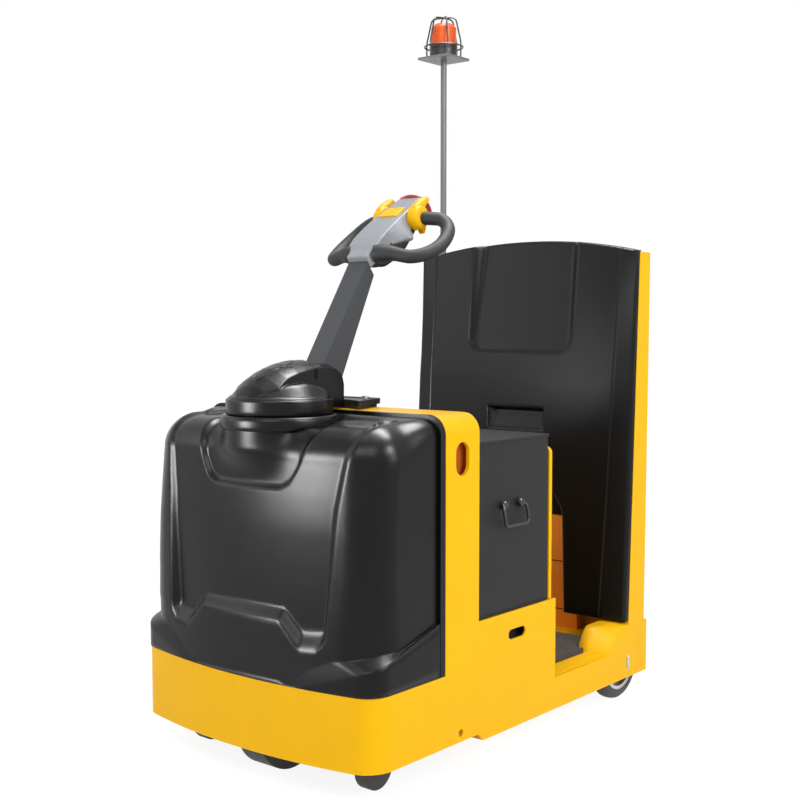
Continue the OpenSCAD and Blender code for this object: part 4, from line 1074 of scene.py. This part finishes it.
def make_wheels():
    n = 96
    for s, side in ((1, "left"), (-1, "right")):
        verts = [(s * (WHEEL_X + x), AXLE_Y + r * math.cos(a), AXLE_Z + r * math.sin(a))
                 for a in turns(n) for x, r in TYRE_PROFILE]
        faces = [f[::s] for f in ring_faces(n, len(TYRE_PROFILE))]
        tyre = add_piece("tyre_" + side, (verts, faces), TYRE, "rear_wheel_" + side)
        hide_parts("rear_tyre_" + side)
        path = [(s * RIM_X, AXLE_Y + RIM_RING_R * math.cos(a), AXLE_Z + RIM_RING_R * math.sin(a))
                for a in np.linspace(0, 2 * math.pi, 73)]
        ring = tube(path, RIM_WIRE_R, 10)
        add_piece("rim_ring_" + side, ring, STEEL, "rear_wheel_" + side)


# Console: curved front about the steering axis, back corners, and layers as share of the size and height
TRAY_R, TRAY_HALF, TRAY_MIDDLE = 200, 116, -270
TRAY_BACK = ((73, -222), (69, -218), (-69, -218), (-73, -222))
TRAY_LAYERS = ((0.9, 884.2), (0.9, 891), (1, 893), (1, 905.6), (0.985, 907), (0.92, 907), (0.9, 903.6))


def make_console():
    """Tray on the hoop behind the turret, with a raised border."""
    edge = [(x, STEER_Y + math.sqrt(TRAY_R ** 2 - x * x)) for x in np.linspace(-TRAY_HALF, TRAY_HALF, 25)]
    edge += TRAY_BACK
    tray = loft([[(x * k, TRAY_MIDDLE + (y - TRAY_MIDDLE) * k, z) for x, y in edge] for k, z in TRAY_LAYERS])
    console = add_piece("console_tray", tray, BLACK, "chassis", smooth=False)
    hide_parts("console")


# Beacon cage: its axis, and radii and heights of a wire that leans in and bends over the lens
CAGE_X, CAGE_Y = -365, 613
CAGE_WIRE = ((58, 1970), (58.5, 1990), (58, 2018), (51, 2050), (43, 2084), (38, 2092), (30, 2095.5),
             (14, 2097), (0.5, 2097.4))
CAGE_WIRES, CAGE_TURN = 6, 20
CAGE_RING_R, CAGE_RING_Z = 63, 2003
WIRE_R = 2.6


def make_cage():
    def around(a, r, z):
        return CAGE_X + r * math.cos(a), CAGE_Y + r * math.sin(a), z

    line = spline(CAGE_WIRE, 5)
    paths = [[around(math.radians(CAGE_TURN + 360 / CAGE_WIRES * k), r, z) for r, z in line]
             for k in range(CAGE_WIRES)]
    paths.append([around(a, CAGE_RING_R, CAGE_RING_Z) for a in np.linspace(0, 2 * math.pi, 61)])
    wires = joined(*(tube(path, WIRE_R, 12) for path in paths))
    cage = add_piece("cage_wires", wires, BLACK_STEEL, "chassis")
    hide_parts("beacon_cage")


# Lock plates of the rear axles: oval and screw as height, half sizes, and layers of x and share
LOCK_Z, LOCK_HALF_Y, LOCK_HALF_Z = 114, 7.5, 21
LOCK_LAYERS = ((400, 1), (402.4, 1), (403, 0.94))
SCREW_Z, SCREW_R = 125, 4.2
SCREW_LAYERS = ((402, 1), (404.4, 0.9), (405.4, 0.5))


def make_lock_ovals():
    oval = loft([disc(x, AXLE_Y, LOCK_Z, LOCK_HALF_Y * k, LOCK_HALF_Z * k, 32) for x, k in LOCK_LAYERS])
    screw = loft([disc(x, AXLE_Y, SCREW_Z, SCREW_R * k, SCREW_R * k, 32) for x, k in SCREW_LAYERS])
    add_piece("lock_ovals", mirrored(joined(oval, screw)), STEEL, "chassis", smooth=False)


make_camera()
make_world()
make_floor()
make_lights()
dress_nodes()
make_hood()
make_backrest()
make_turret_dome()
make_turret_cheeks()
make_turret_details()
make_head_shell()
make_head_cover()
make_loops()
make_thumb_wheels()
make_head_key()
make_belly()
make_fenders()
make_bulkhead()
make_rear_inside()
make_hood_trim()
make_hand_hole_liner()
make_mat()
make_cover()
make_wheels()
make_console()
make_collar()
make_cage()
make_lock_ovals()
